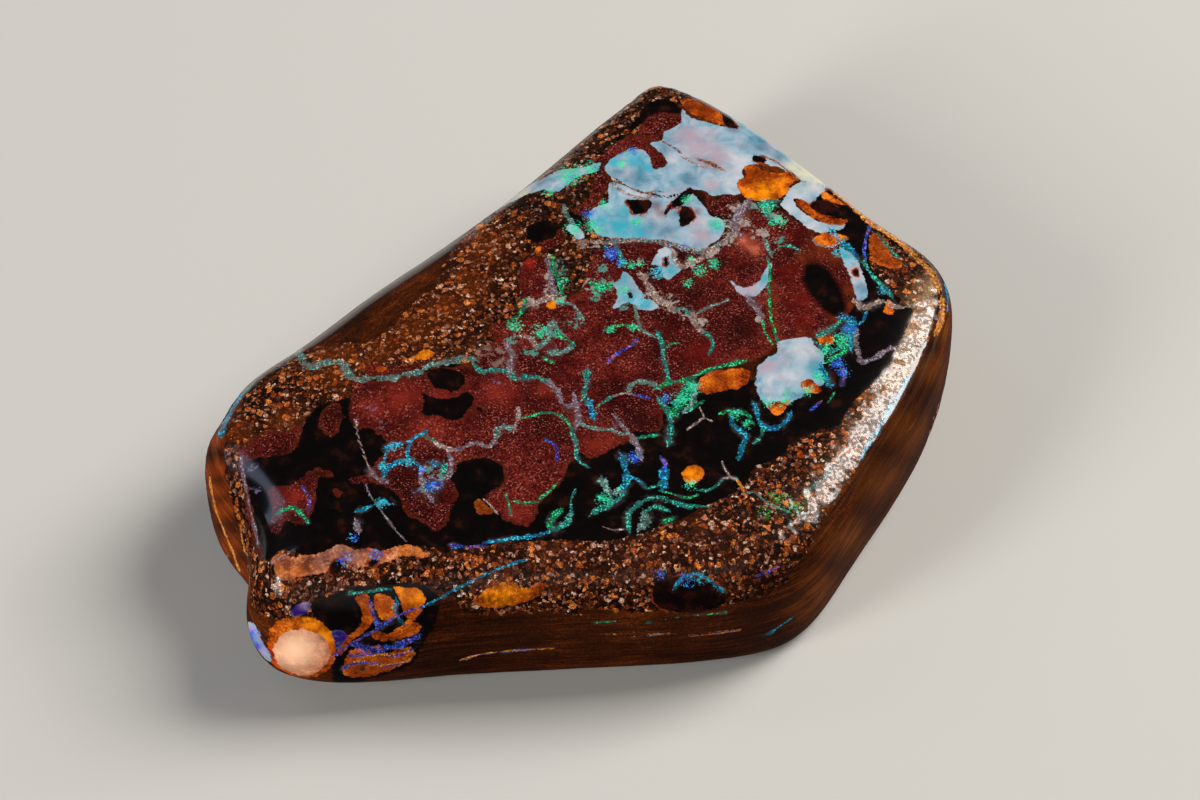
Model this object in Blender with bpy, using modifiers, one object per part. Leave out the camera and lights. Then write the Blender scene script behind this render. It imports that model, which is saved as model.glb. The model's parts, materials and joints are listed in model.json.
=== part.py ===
"""A piece of boulder opal, cut and tumbled smooth: one stone, lying on its flat underside.

Metres, +Z up. The origin is the middle of the stone's box, on the surface that it lies on. The polished
face is on top, +X is the stone's longer way, and -Y is the side with the round lobe.

The stone is a loft of rings. Each ring is the girth outline moved in by a share of what its station says,
at one height, and Subdivision Surface rounds the cage that the rings make.
"""

import bmesh
import bpy
import numpy as np
from mathutils import Matrix, Vector

MM = 0.001

# Driving dimensions, in millimetres.
THICKNESS = 9.2
CROWN = 0.35
CROWN_REACH = (24.0, 22.0)
CROWN_MIDDLE = (0.0, 1.5)
CROWN_FADE = (5.0, 9.0)

# The shares of a shoulder's inset and drop, and of a foot's inset, at which their roundings are cut.
SHOULDER_CUT = 0.22
FOOT_CUT = 0.35
BULGE = 0.15
WALL_HEIGHT = 2.6
FOOT_HEIGHT = 0.35
UNDERSIDE_INSET = 1.2
FLAT_SHARE = 0.7
SUBDIVISIONS = 2

# The girth, clockwise from above: name, x, y, then how far in the polished face starts to bend down,
# how far it has dropped at the wall, and how far in the foot stands.
STATIONS = (
    ("apex", 5.3, 20.7, 2.5, 2.2, 0.8),
    ("back_right_a", 9.3, 17.8, 1.5, 1.6, 0.8),
    ("back_right_b", 12.0, 15.0, 1.2, 1.4, 0.8),
    ("back_right_c", 14.6, 12.3, 1.2, 1.4, 0.8),
    ("back_right_d", 17.5, 9.4, 1.2, 1.4, 0.8),
    ("right_corner_a", 20.0, 7.4, 1.6, 1.8, 0.8),
    ("right_corner_b", 21.3, 5.0, 2.4, 2.2, 0.6),
    ("right_a", 21.0, 1.8, 2.6, 2.4, 0.5),
    ("right_b", 19.7, -2.0, 2.6, 2.4, 0.5),
    ("right_c", 17.8, -5.8, 2.6, 2.4, 0.5),
    ("right_d", 15.5, -9.8, 2.6, 2.4, 0.5),
    ("right_e", 13.4, -13.3, 2.8, 2.6, 0.5),
    ("front_corner", 10.9, -15.3, 3.0, 2.8, 0.5),
    ("front_a", 7.0, -16.2, 2.8, 2.8, 0.6),
    ("front_b", 2.2, -16.6, 2.8, 2.8, 0.6),
    ("front_c", -2.6, -16.9, 3.0, 3.0, 0.6),
    ("hollow", -6.6, -17.3, 3.8, 4.0, 0.9),
    ("lobe_a", -10.0, -17.9, 3.9, 5.2, 1.7),
    ("lobe_b", -13.6, -18.2, 4.1, 5.8, 2.3),
    ("lobe_c", -16.8, -17.4, 3.9, 5.8, 2.3),
    ("lobe_d", -18.4, -15.1, 3.0, 5.0, 1.7),
    ("neck", -18.4, -12.1, 2.5, 3.4, 0.7),
    ("left_a", -20.0, -9.3, 2.6, 3.0, 0.4),
    ("left_b", -21.1, -6.2, 2.7, 3.2, 0.5),
    ("left_c", -20.5, -4.1, 2.5, 3.2, 0.6),
    ("left_d", -19.1, -1.4, 2.7, 3.0, 0.8),
    ("back_left_a", -16.2, 1.4, 3.2, 3.2, 0.8),
    ("back_left_b", -12.7, 5.1, 3.8, 3.6, 0.8),
    ("back_left_c", -8.3, 9.0, 3.8, 3.6, 0.8),
    ("back_left_d", -3.6, 13.4, 3.4, 3.2, 0.8),
    ("back_left_e", 0.4, 17.5, 2.8, 2.8, 0.8),
    ("apex_left", 2.9, 19.8, 2.1, 2.4, 0.8),
)

IRONSTONE_COLOUR = (0.10, 0.035, 0.014, 1.0)
IRONSTONE_ROUGHNESS = 0.2


def clear_scene():
    for obj in list(bpy.data.objects):
        bpy.data.objects.remove(obj)


def cage_outline(outline):
    """The cage points whose smoothed curve runs through the outline: a closed cubic spline's ends rule,
    point = (one before + four times itself + one after) / 6, solved for all points at once."""
    same = np.eye(len(outline))
    rule = (4 * same + np.roll(same, 1, axis=0) + np.roll(same, -1, axis=0)) / 6
    return np.linalg.solve(rule, outline)


def outward(outline):
    """Unit normals in the plane. The outline runs clockwise, so outward is to the left of the way along it."""
    along = np.roll(outline, -1, axis=0) - np.roll(outline, 1, axis=0)
    normals = np.stack([-along[:, 1], along[:, 0]], axis=1)
    return normals / np.linalg.norm(normals, axis=1, keepdims=True)


def crowned(points):
    """Lifts the polished face by a low paraboloid, which fades out down the shoulder."""
    reach = [((points[:, k] - CROWN_MIDDLE[k]) / CROWN_REACH[k]) ** 2 for k in (0, 1)]
    low, high = CROWN_FADE
    share = np.clip((points[:, 2] - low) / (high - low), 0, 1)
    lift = CROWN * np.clip(1 - reach[0] - reach[1], 0, None) * share
    return points + np.stack([0 * lift, 0 * lift, lift], axis=1)


def drawn_in(ring):
    """A smaller copy of a flat ring, drawn in towards its middle, which keeps the face inside it flat."""
    middle = ring.mean(axis=0)
    return middle + FLAT_SHARE * (ring - middle)


def section_rings():
    """The loft's rings, from the polished face over the shoulder and down the wall to the underside."""
    girth = cage_outline(np.array([station[1:3] for station in STATIONS]))
    inset, drop, foot = (np.array([station[k] for station in STATIONS]) for k in (3, 4, 5))
    normals = outward(girth)
    level = np.ones(len(STATIONS))
    offsets_and_heights = (
        (-inset, THICKNESS * level),
        (-SHOULDER_CUT * inset, THICKNESS - SHOULDER_CUT * drop),
        (BULGE * level, THICKNESS - drop),
        (0 * level, WALL_HEIGHT * level),
        (-FOOT_CUT * foot, FOOT_HEIGHT * level),
        (-foot - UNDERSIDE_INSET, 0 * level),
    )
    rings = [
        np.column_stack([girth + normals * offset[:, None], height])
        for offset, height in offsets_and_heights
    ]
    rings = [drawn_in(rings[0]), *rings, drawn_in(rings[-1])]
    return [crowned(ring) for ring in rings]


def lofted_cage(rings):
    """A closed cage: each ring bridged to the next, and the first and last filled."""
    bm = bmesh.new()
    loops = []
    for ring in rings:
        verts = [bm.verts.new(Vector(point) * MM) for point in ring]
        loops.append([bm.edges.new((a, b)) for a, b in zip(verts, verts[1:] + verts[:1])])
    for upper, lower in zip(loops, loops[1:]):
        bmesh.ops.bridge_loops(bm, edges=upper + lower)
    for end in (loops[0], loops[-1]):
        bmesh.ops.contextual_create(bm, geom=end)
    bmesh.ops.recalc_face_normals(bm, faces=bm.faces)
    mesh = bpy.data.meshes.new("boulder_opal")
    bm.to_mesh(mesh)
    bm.free()
    return mesh


def ironstone_material():
    material = bpy.data.materials.new("polished_ironstone")
    material.use_nodes = True
    shader = material.node_tree.nodes["Principled BSDF"]
    shader.inputs["Base Color"].default_value = IRONSTONE_COLOUR
    shader.inputs["Roughness"].default_value = IRONSTONE_ROUGHNESS
    shader.inputs["Metallic"].default_value = 0.0
    return material


def boulder_opal(collection):
    """The whole stone, moved so that its rounded shape's box stands over the origin."""
    stone = bpy.data.objects.new("boulder_opal", lofted_cage(section_rings()))
    collection.objects.link(stone)
    stone.data.materials.append(ironstone_material())
    rounding = stone.modifiers.new("rounding", "SUBSURF")
    rounding.levels = rounding.render_levels = SUBDIVISIONS
    bpy.context.view_layer.update()
    corners = [Vector(c) for c in stone.evaluated_get(bpy.context.evaluated_depsgraph_get()).bound_box]
    low = Vector(map(min, *corners))
    high = Vector(map(max, *corners))
    middle = (low + high) / 2
    stone.data.transform(Matrix.Translation((-middle.x, -middle.y, -low.z)))
    stone.data.shade_smooth()
    return stone


def main():
    clear_scene()
    collection = bpy.data.collections.new("boulder_opal")
    bpy.context.scene.collection.children.link(collection)
    boulder_opal(collection)


main()
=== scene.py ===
"""The looks of a tumbled piece of boulder opal: one closed surface with its pattern, a floor and lights.

Lengths are millimetres until a mesh is made. The pattern is a set of traced outlines and vein routes, given
in pixels of a picture of 1200 x 800 and laid on the stone along the camera's lines of sight. Each becomes a
distance that is stored at the mesh's points, and the material turns distances into edges.
"""

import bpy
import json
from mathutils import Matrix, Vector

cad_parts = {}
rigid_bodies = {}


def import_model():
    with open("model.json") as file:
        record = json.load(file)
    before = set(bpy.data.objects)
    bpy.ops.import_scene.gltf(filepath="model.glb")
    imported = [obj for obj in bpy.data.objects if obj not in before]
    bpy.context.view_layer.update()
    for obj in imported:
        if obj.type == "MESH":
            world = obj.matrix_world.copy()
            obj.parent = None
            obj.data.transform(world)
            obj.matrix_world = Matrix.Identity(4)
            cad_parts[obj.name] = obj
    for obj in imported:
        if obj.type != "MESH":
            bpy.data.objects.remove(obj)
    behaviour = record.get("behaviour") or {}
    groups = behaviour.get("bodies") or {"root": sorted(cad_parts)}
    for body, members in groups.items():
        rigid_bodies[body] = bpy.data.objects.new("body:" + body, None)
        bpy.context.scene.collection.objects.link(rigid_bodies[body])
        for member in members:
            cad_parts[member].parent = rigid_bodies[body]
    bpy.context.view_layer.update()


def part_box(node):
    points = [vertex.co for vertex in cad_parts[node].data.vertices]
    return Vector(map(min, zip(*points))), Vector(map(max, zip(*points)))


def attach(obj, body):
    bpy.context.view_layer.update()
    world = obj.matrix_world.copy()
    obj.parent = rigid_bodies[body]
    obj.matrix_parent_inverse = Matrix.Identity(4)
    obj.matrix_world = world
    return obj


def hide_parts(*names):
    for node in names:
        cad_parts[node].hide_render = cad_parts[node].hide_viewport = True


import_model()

import itertools
import json
import math

import bpy
import numpy as np
from mathutils import Matrix, Vector

MM = 0.001

# The stone's driving dimensions, as its solid has them.
THICKNESS = 9.2
CROWN = 0.35
CROWN_REACH = (24.0, 22.0)
CROWN_MIDDLE = (0.0, 1.5)
CROWN_FADE = (5.0, 9.0)
SHOULDER_CUT = 0.22
FOOT_CUT = 0.35
BULGE = 0.15
WALL_HEIGHT = 2.6
FOOT_HEIGHT = 0.35
UNDERSIDE_INSET = 1.2
FLAT_SHARE = 0.7

# The girth, clockwise from above: name, x, y, then how far in the polished face starts to bend down,
# how far it has dropped at the wall, and how far in the foot stands.
STATIONS = (
    ("apex", 5.3, 20.7, 2.5, 2.2, 0.8),
    ("back_right_a", 9.3, 17.8, 1.5, 1.6, 0.8),
    ("back_right_b", 12.0, 15.0, 1.2, 1.4, 0.8),
    ("back_right_c", 14.6, 12.3, 1.2, 1.4, 0.8),
    ("back_right_d", 17.5, 9.4, 1.2, 1.4, 0.8),
    ("right_corner_a", 20.0, 7.4, 1.6, 1.8, 0.8),
    ("right_corner_b", 21.3, 5.0, 2.4, 2.2, 0.6),
    ("right_a", 21.0, 1.8, 2.6, 2.4, 0.5),
    ("right_b", 19.7, -2.0, 2.6, 2.4, 0.5),
    ("right_c", 17.8, -5.8, 2.6, 2.4, 0.5),
    ("right_d", 15.5, -9.8, 2.6, 2.4, 0.5),
    ("right_e", 13.4, -13.3, 2.8, 2.6, 0.5),
    ("front_corner", 10.9, -15.3, 3.0, 2.8, 0.5),
    ("front_a", 7.0, -16.2, 2.8, 2.8, 0.6),
    ("front_b", 2.2, -16.6, 2.8, 2.8, 0.6),
    ("front_c", -2.6, -16.9, 3.0, 3.0, 0.6),
    ("hollow", -6.6, -17.3, 3.8, 4.0, 0.9),
    ("lobe_a", -10.0, -17.9, 3.9, 5.2, 1.7),
    ("lobe_b", -13.6, -18.2, 4.1, 5.8, 2.3),
    ("lobe_c", -16.8, -17.4, 3.9, 5.8, 2.3),
    ("lobe_d", -18.4, -15.1, 3.0, 5.0, 1.7),
    ("neck", -18.4, -12.1, 2.5, 3.4, 0.7),
    ("left_a", -20.0, -9.3, 2.6, 3.0, 0.4),
    ("left_b", -21.1, -6.2, 2.7, 3.2, 0.5),
    ("left_c", -20.5, -4.1, 2.5, 3.2, 0.6),
    ("left_d", -19.1, -1.4, 2.7, 3.0, 0.8),
    ("back_left_a", -16.2, 1.4, 3.2, 3.2, 0.8),
    ("back_left_b", -12.7, 5.1, 3.8, 3.6, 0.8),
    ("back_left_c", -8.3, 9.0, 3.8, 3.6, 0.8),
    ("back_left_d", -3.6, 13.4, 3.4, 3.2, 0.8),
    ("back_left_e", 0.4, 17.5, 2.8, 2.8, 0.8),
    ("apex_left", 2.9, 19.8, 2.1, 2.4, 0.8),
)

# The mesh: cells across the polished face and across the underside, the ways down the rings that each of
# them spans from its middle to its edge, and the rows down each stretch of the side between them.
FACE_CELLS = 224
FACE_SPAN = (1.0, 2.0)
UNDERSIDE_CELLS = FACE_CELLS // 4
UNDERSIDE_SPAN = (8.0, 7.35)
SIDE_ROWS = ((2.0, 3.0, 12), (3.0, 4.0, 12), (4.0, 5.0, 9), (5.0, 6.0, 5), (6.0, 7.0, 3))
FIRST_CORNER = 4.5

# Low relief. Noise is given as strength, size in millimetres and seed, and a wave's strength is its depth.
# The level face loses a share of the waves. Pits are cut where their noise, times the gain, is past the
# start, and they fade over the margin at the sand's edge. All relief fades out just above the foot.
WAVES = ((0.035, 2.6, 3), (0.02, 1.1, 4))
LOST_ON_TOP = 0.75
PIT_NOISE = ((1.0, 0.42, 7),)
PIT_DEPTH = 0.055
PIT_GAIN = 1.6
PIT_START = 0.55
PIT_MARGIN = 0.3
SAND_CLEARANCE = 0.15
FOOT_FADE = 0.6

# Where the picture doesn't show the stone, sand lies where this noise is past the level.
HIDDEN_SAND = ((1.0, 7.0, 11), (0.4, 2.2, 12))
HIDDEN_SAND_LEVEL = 0.84
HIDDEN_SAND_SLOPE = 4

# Whole numbers that scatter the corner values of the noise.
SCATTER_AXES = (374761393, 668265263, 1274126177)
SCATTER_SEED = 69069
SCATTER_GAIN, SCATTER_SHIFT = 1103515245, 12345
SCATTER_LAST = 2246822519
SCATTER_MASK = 0xFFFFFFFF

# The camera, and the picture that the traced outlines are measured in.
PICTURE = (1200, 800)
SENSOR = 36.0
CAMERA_RISE = math.radians(52)
CAMERA_DISTANCE = 280.0
PIXELS_PER_MM = 17.5
CAMERA_TARGET = np.array([1.071, -1.908, 4.5])
FACE_HEIGHT = 9.3

FORWARD = np.array([0, math.cos(CAMERA_RISE), -math.sin(CAMERA_RISE)])
UPWARD = np.array([0, math.sin(CAMERA_RISE), math.cos(CAMERA_RISE)])
RIGHTWARD = np.array([1.0, 0, 0])
CAMERA_PLACE = CAMERA_TARGET - CAMERA_DISTANCE * FORWARD
FOCAL_PIXELS = PIXELS_PER_MM * CAMERA_DISTANCE
CLIP_START = 0.01

# Lights, at this distance in metres: name, the first and last direction as degrees round from +X and
# degrees up, width in metres, and radiance in red, green and blue.
LIGHT_DISTANCE = 0.6
LIGHTS = (
    ("right softbox", (38, 60), (20, 28), 0.26, (18.0, 17.3, 16.3)),
    ("left fill", (140, 60), (165, 20), 0.10, (1.3, 1.6, 2.2)),
    ("lobe strip", (210, 38), (222, 6), 0.15, (19.0, 18.8, 18.2)),
    ("front fill", (255, 60), (255, 10), 0.80, (0.25, 0.25, 0.25)),
)
AMBIENT = 0.035
FLOOR_REACH = 3.0
FLOOR_COLOUR = (180, 178, 174)
FLOOR_ROUGHNESS = 0.9

# The side counts as turned away from the camera below this share of facing it. The pattern fades over this
# many millimetres from there, and the underside's places lie this far off.
LAST_FACING = 0.14
UNSEEN_FADE = 2.5
FAR_AWAY = 1000.0

# How far a zone's distance is followed, in millimetres, and a vein's, in half widths.
ZONE_REACH = 1.5
VEIN_REACH = 4.0
VEIN_LAYERS = 4

# The smallest length and the smallest strength that are divided by.
LEAST_LENGTH = 1e-9
LEAST_STRENGTH = 1e-6

# Outlines in picture pixels. A zone is the union of its outlines, less its holes.
SAND = (
    # from the upper left slope, round the left corner, down the left rim, the front and up the right rim
    ((700, 84), (680, 78), (650, 78), (626, 96), (604, 120), (572, 150), (545, 176), (520, 200), (496, 212),
     (474, 220), (462, 238), (450, 252), (444, 272), (430, 290), (412, 304), (396, 322), (376, 338),
     (345, 344), (318, 348), (300, 354), (268, 376), (244, 398), (230, 425), (226, 455), (228, 490),
     (236, 520), (247, 552), (250, 590), (256, 612), (300, 622), (345, 622), (350, 600), (372, 588),
     (425, 586), (455, 600), (470, 615), (520, 612), (600, 612), (660, 612), (720, 606), (775, 590),
     (800, 562), (822, 520), (850, 478), (878, 430), (905, 380), (928, 335), (936, 290), (928, 262),
     (905, 240), (880, 224), (868, 212), (850, 205), (840, 260), (870, 300), (860, 380), (760, 430),
     (690, 520), (560, 520), (400, 520), (300, 540), (262, 520), (250, 470), (300, 430), (350, 400),
     (430, 380), (500, 340), (560, 300), (620, 260), (640, 200), (640, 120), (690, 104)),
)
BLACK = (
    # the left and lower dark ironstone, as far as the right rim's sand
    ((243, 460), (262, 456), (284, 455), (298, 446), (303, 426), (314, 410), (330, 402), (352, 396),
     (420, 372), (445, 362), (468, 370), (480, 400), (500, 440), (560, 440), (620, 420), (660, 395),
     (700, 372), (748, 380), (790, 372), (818, 352), (816, 330), (840, 318), (856, 300), (850, 262),
     (824, 232), (845, 224), (862, 232), (856, 258), (870, 284), (890, 302), (912, 308), (906, 330),
     (896, 352), (884, 372), (868, 388), (852, 404), (838, 426), (812, 432), (790, 446), (774, 460),
     (756, 466), (746, 480), (732, 494), (708, 504), (690, 515), (668, 524), (640, 533), (606, 541),
     (560, 540), (520, 542), (486, 545), (446, 552), (420, 545), (398, 546), (372, 551), (342, 545),
     (312, 556), (284, 549), (264, 560), (254, 530), (247, 500)),
    # the dark band round the orange lenses at the right
    ((800, 200), (818, 196), (838, 188), (856, 198), (876, 212), (896, 226), (912, 240), (902, 250),
     (884, 236), (872, 232), (868, 252), (874, 270), (892, 290), (900, 304), (870, 300), (852, 262),
     (840, 232), (815, 222)),
    # the dark hollow at the upper left
    ((528, 226), (545, 220), (558, 224), (570, 212), (584, 220), (578, 232), (560, 240), (540, 244),
     (526, 238)),
    # the hollow round the banded oval on the lobe
    ((312, 606), (330, 596), (350, 588), (384, 584), (410, 582), (428, 588), (440, 600), (436, 622),
     (424, 642), (416, 660), (396, 672), (366, 680), (336, 684), (332, 668), (336, 652), (330, 636),
     (318, 622)),
    # under the apex
    ((648, 103), (664, 99), (676, 104), (682, 112), (668, 114), (650, 116), (636, 128), (628, 128),
     (640, 114)),
)
RED = (
    # the middle of the polished face
    ((353, 384), (358, 381), (376, 380), (400, 377), (420, 374), (436, 368), (456, 366), (474, 366),
     (480, 352), (496, 340), (488, 330), (500, 322), (522, 318), (530, 306), (520, 292), (522, 266),
     (536, 256), (548, 264), (560, 296), (580, 292), (584, 276), (592, 262), (600, 246), (640, 240),
     (700, 246), (722, 240), (738, 226), (742, 212), (760, 206), (784, 212), (800, 224), (812, 236),
     (830, 240), (842, 256), (850, 280), (856, 300), (850, 312), (840, 320), (834, 334), (820, 338),
     (790, 340), (776, 346), (764, 356), (744, 362), (716, 366), (702, 374), (690, 380), (676, 396),
     (668, 404), (664, 412), (663, 425), (658, 432), (645, 431), (631, 433), (629, 440), (614, 448),
     (601, 455), (590, 458), (580, 452), (574, 460), (568, 464), (566, 474), (559, 484), (551, 493),
     (541, 502), (537, 512), (533, 521), (526, 526), (512, 523), (503, 519), (497, 510), (491, 505),
     (484, 497), (492, 490), (502, 485), (504, 472), (499, 464), (489, 458), (472, 459), (461, 462),
     (455, 470), (452, 480), (456, 490), (457, 498), (452, 505), (450, 515), (446, 525), (439, 531),
     (433, 531), (428, 526), (419, 520), (409, 516), (403, 510), (401, 500), (394, 492), (380, 485),
     (364, 482), (352, 484), (350, 478), (364, 475), (372, 467), (377, 460), (386, 452), (388, 443),
     (379, 434), (369, 428), (357, 428), (349, 414)),
    # the island at the left, the patch above it and the stripe down the rim
    ((268, 488), (284, 486), (298, 480), (308, 472), (320, 468), (334, 474), (330, 478), (318, 478),
     (316, 500), (310, 516), (300, 526), (286, 520), (278, 532), (269, 530), (272, 510)),
    ((240, 452), (250, 442), (262, 434), (270, 430), (286, 432), (301, 424), (297, 444), (284, 454),
     (262, 457), (248, 460), (241, 460)),
    ((238, 452), (244, 456), (246, 480), (252, 510), (258, 540), (263, 557), (256, 557), (250, 530),
     (244, 505), (240, 480)),
    ((328, 405), (340, 404), (342, 420), (336, 434), (328, 436), (318, 424)),
    ((333, 490), (340, 489), (342, 495), (336, 498)),
    # round the pale opal near the apex
    ((590, 166), (608, 150), (624, 138), (634, 134), (644, 138), (654, 148), (668, 162), (654, 170),
     (645, 155), (630, 149), (616, 156), (603, 168), (612, 178), (608, 188), (600, 200), (588, 200),
     (594, 182)),
    ((640, 126), (650, 116), (666, 112), (680, 116), (684, 124), (670, 129), (660, 136), (666, 144),
     (680, 150), (690, 156), (680, 158), (664, 148), (650, 142), (640, 134)),
    ((704, 192), (712, 196), (718, 200), (724, 192), (736, 196), (738, 208), (728, 214), (716, 216),
     (708, 208)),
    # beside the dark hollow, and the low rise above the grey vein
    ((536, 244), (552, 238), (562, 226), (566, 236), (556, 246), (540, 252)),
    ((574, 208), (590, 200), (604, 200), (596, 208), (584, 214), (576, 214)),
    ((362, 372), (376, 364), (400, 366), (424, 362), (446, 358), (440, 366), (420, 370), (380, 376)),
)
RED_HOLES = (
    ((428, 373), (438, 367), (452, 370), (466, 376), (462, 386), (452, 391), (436, 387), (430, 380)),
    ((421, 392), (430, 396), (446, 398), (458, 396), (466, 392), (474, 396), (470, 408), (464, 416),
     (450, 420), (438, 416), (422, 414), (424, 402)),
    ((477, 408), (483, 409), (481, 412)),
)
OPAL = (
    # the large patch, which runs over the far edge
    ((605, 166), (613, 158), (624, 152), (640, 149), (650, 158), (654, 170), (668, 162), (656, 149),
     (650, 143), (662, 140), (664, 131), (674, 128), (682, 120), (682, 108), (692, 118), (706, 122),
     (722, 126), (736, 127), (728, 112), (724, 106), (740, 108), (790, 120), (850, 168), (836, 182),
     (822, 184), (800, 180), (788, 172), (776, 166), (752, 164), (742, 170), (744, 178), (737, 184),
     (740, 194), (722, 194), (712, 196), (704, 190), (690, 190), (668, 196), (650, 192), (634, 188),
     (620, 181), (610, 176)),
    # the one below it
    ((590, 212), (598, 206), (608, 202), (608, 188), (614, 181), (630, 188), (650, 194), (668, 198),
     (690, 192), (704, 206), (710, 216), (722, 220), (724, 232), (712, 244), (700, 251), (684, 245),
     (660, 240), (630, 238), (604, 237), (592, 228)),
    # the pale curve under the orange lenses
    ((783, 200), (790, 190), (800, 182), (822, 184), (832, 186), (822, 193), (816, 198), (812, 205),
     (804, 202), (794, 198), (796, 206), (806, 214), (820, 222), (836, 224), (846, 224), (838, 230),
     (820, 233), (808, 228), (798, 220), (788, 212), (782, 206)),
    # the rounded patch at the right of the middle
    ((757, 374), (758, 366), (768, 358), (778, 352), (776, 344), (784, 340), (800, 338), (812, 338),
     (815, 345), (822, 351), (824, 360), (820, 372), (824, 384), (812, 388), (802, 396), (790, 402),
     (783, 411), (777, 415), (769, 409), (763, 401), (758, 392), (755, 383)),
    # the grey blue seam beside the brown spot
    ((838, 246), (846, 250), (856, 258), (862, 272), (867, 288), (866, 298), (858, 300), (854, 288),
     (850, 276), (844, 264)),
    # the crescent in the red
    ((730, 280), (738, 286), (748, 287), (758, 282), (764, 272), (771, 262), (769, 280), (762, 291),
     (750, 297), (740, 294)),
    # the small patches between the large ones and the red
    ((610, 282), (619, 281), (623, 271), (630, 275), (636, 284), (640, 290), (644, 299), (654, 302),
     (660, 308), (646, 310), (637, 309), (630, 302), (624, 304), (618, 307), (611, 308), (618, 298),
     (616, 289)),
    ((652, 264), (655, 257), (660, 249), (668, 246), (675, 252), (676, 261), (682, 269), (675, 275),
     (667, 280), (662, 274), (662, 266)),
    ((708, 226), (716, 217), (724, 222), (724, 232), (716, 238), (710, 234)),
    ((572, 224), (582, 230), (584, 240), (574, 236), (566, 228)),
    # the seam on the upper left slope
    ((470, 218), (492, 204), (512, 192), (530, 184), (545, 177), (562, 169), (580, 168), (600, 162),
     (598, 170), (580, 176), (568, 184), (558, 192), (545, 190), (528, 194), (506, 204), (486, 213)),
    # the violet patches at the ball
    ((240, 626), (250, 622), (258, 630), (262, 642), (274, 660), (262, 660), (250, 650), (240, 640)),
    ((290, 612), (298, 604), (308, 602), (310, 610), (300, 616), (292, 618)),
    ((328, 636), (336, 630), (346, 634), (346, 644), (338, 650), (330, 646)),
)
AMBER = (
    # the lenses at the upper right
    ((744, 168), (752, 165), (762, 170), (776, 174), (790, 172), (796, 178), (788, 188), (783, 196),
     (772, 200), (754, 200), (745, 196), (738, 188), (738, 180), (746, 176)),
    ((795, 199), (804, 200), (814, 208), (824, 216), (836, 218), (848, 220), (842, 225), (826, 223),
     (812, 217), (800, 208)),
    ((821, 192), (830, 194), (842, 199), (846, 204), (836, 204), (824, 199)),
    ((815, 238), (824, 233), (836, 232), (848, 238), (840, 244), (828, 245), (817, 243)),
    ((870, 236), (882, 236), (889, 246), (892, 256), (902, 260), (900, 268), (888, 267), (876, 262),
     (870, 252)),
    # round the green patch and the rounded opal
    ((697, 390), (700, 380), (710, 371), (724, 370), (738, 368), (750, 372), (748, 380), (740, 388),
     (725, 390), (708, 394)),
    ((801, 383), (809, 379), (816, 383), (823, 391), (812, 393), (802, 389)),
    ((768, 404), (776, 401), (790, 401), (783, 411), (777, 415), (770, 410)),
    ((818, 338), (828, 334), (834, 338), (832, 344), (820, 344)),
    ((888, 300), (894, 304), (892, 314), (884, 312), (886, 304)),
    # brown in the dark band, and the brown cap near the apex
    ((474, 502), (480, 500), (488, 506), (494, 512), (484, 515), (476, 512)),
    ((680, 100), (694, 100), (712, 108), (726, 118), (736, 127), (720, 124), (700, 117), (688, 110)),
    # the nugget in the dark and the coarse grains in the sand
    ((684, 481), (682, 474), (686, 467), (694, 464), (701, 467), (704, 472), (700, 480), (691, 485)),
    ((415, 356), (420, 351), (430, 350), (434, 354), (428, 359), (418, 360)),
    ((376, 369), (382, 365), (387, 369), (381, 372)),
    ((547, 302), (553, 300), (557, 304), (555, 309), (548, 308)),
    ((474, 226), (480, 223), (486, 226), (480, 229)),
    ((535, 248), (540, 246), (541, 251), (536, 253)),
    ((475, 604), (486, 590), (508, 582), (524, 588), (542, 582), (548, 588), (530, 600), (500, 608)),
    ((798, 453), (802, 451), (804, 456), (800, 459)),
    # the ball's ring and the banded oval beside it
    ((268, 640), (276, 622), (300, 616), (322, 622), (334, 640), (334, 660), (322, 674), (300, 680),
     (280, 672), (270, 658)),
    ((394, 586), (404, 588), (418, 588), (425, 597), (423, 609), (417, 617), (408, 619), (402, 611),
     (400, 601), (396, 593)),
    ((372, 597), (381, 594), (390, 598), (396, 606), (397, 617), (388, 622), (380, 618), (375, 608)),
    ((355, 597), (365, 594), (370, 602), (373, 614), (370, 626), (362, 634), (352, 641), (341, 656),
     (338, 650), (349, 636), (358, 628), (363, 616), (359, 606)),
    ((402, 626), (412, 622), (421, 626), (417, 634), (406, 638), (392, 641), (378, 640), (370, 636),
     (374, 630), (388, 634)),
    ((350, 652), (362, 648), (376, 653), (392, 653), (408, 648), (414, 652), (408, 662), (396, 668),
     (374, 676), (352, 678), (343, 672), (344, 662)),

)
PEACH = (
    # the ball's bright middle
    ((273, 650), (280, 637), (292, 630), (308, 630), (322, 637), (329, 649), (328, 662), (318, 672),
     (302, 677), (286, 671), (276, 662)),
    # the strip over the lobe
    ((272, 558), (281, 553), (291, 557), (303, 556), (318, 554), (331, 548), (342, 544), (352, 550),
     (368, 548), (386, 552), (400, 545), (416, 547), (431, 554), (424, 558), (404, 555), (386, 562),
     (366, 566), (352, 566), (340, 560), (332, 560), (328, 571), (314, 574), (300, 577), (286, 581),
     (277, 577), (274, 566)),
)
SHADE = (
    ((806, 265), (816, 263), (827, 268), (836, 280), (843, 295), (846, 309), (840, 318), (828, 313),
     (815, 301), (806, 287), (802, 275)),
)
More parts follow.
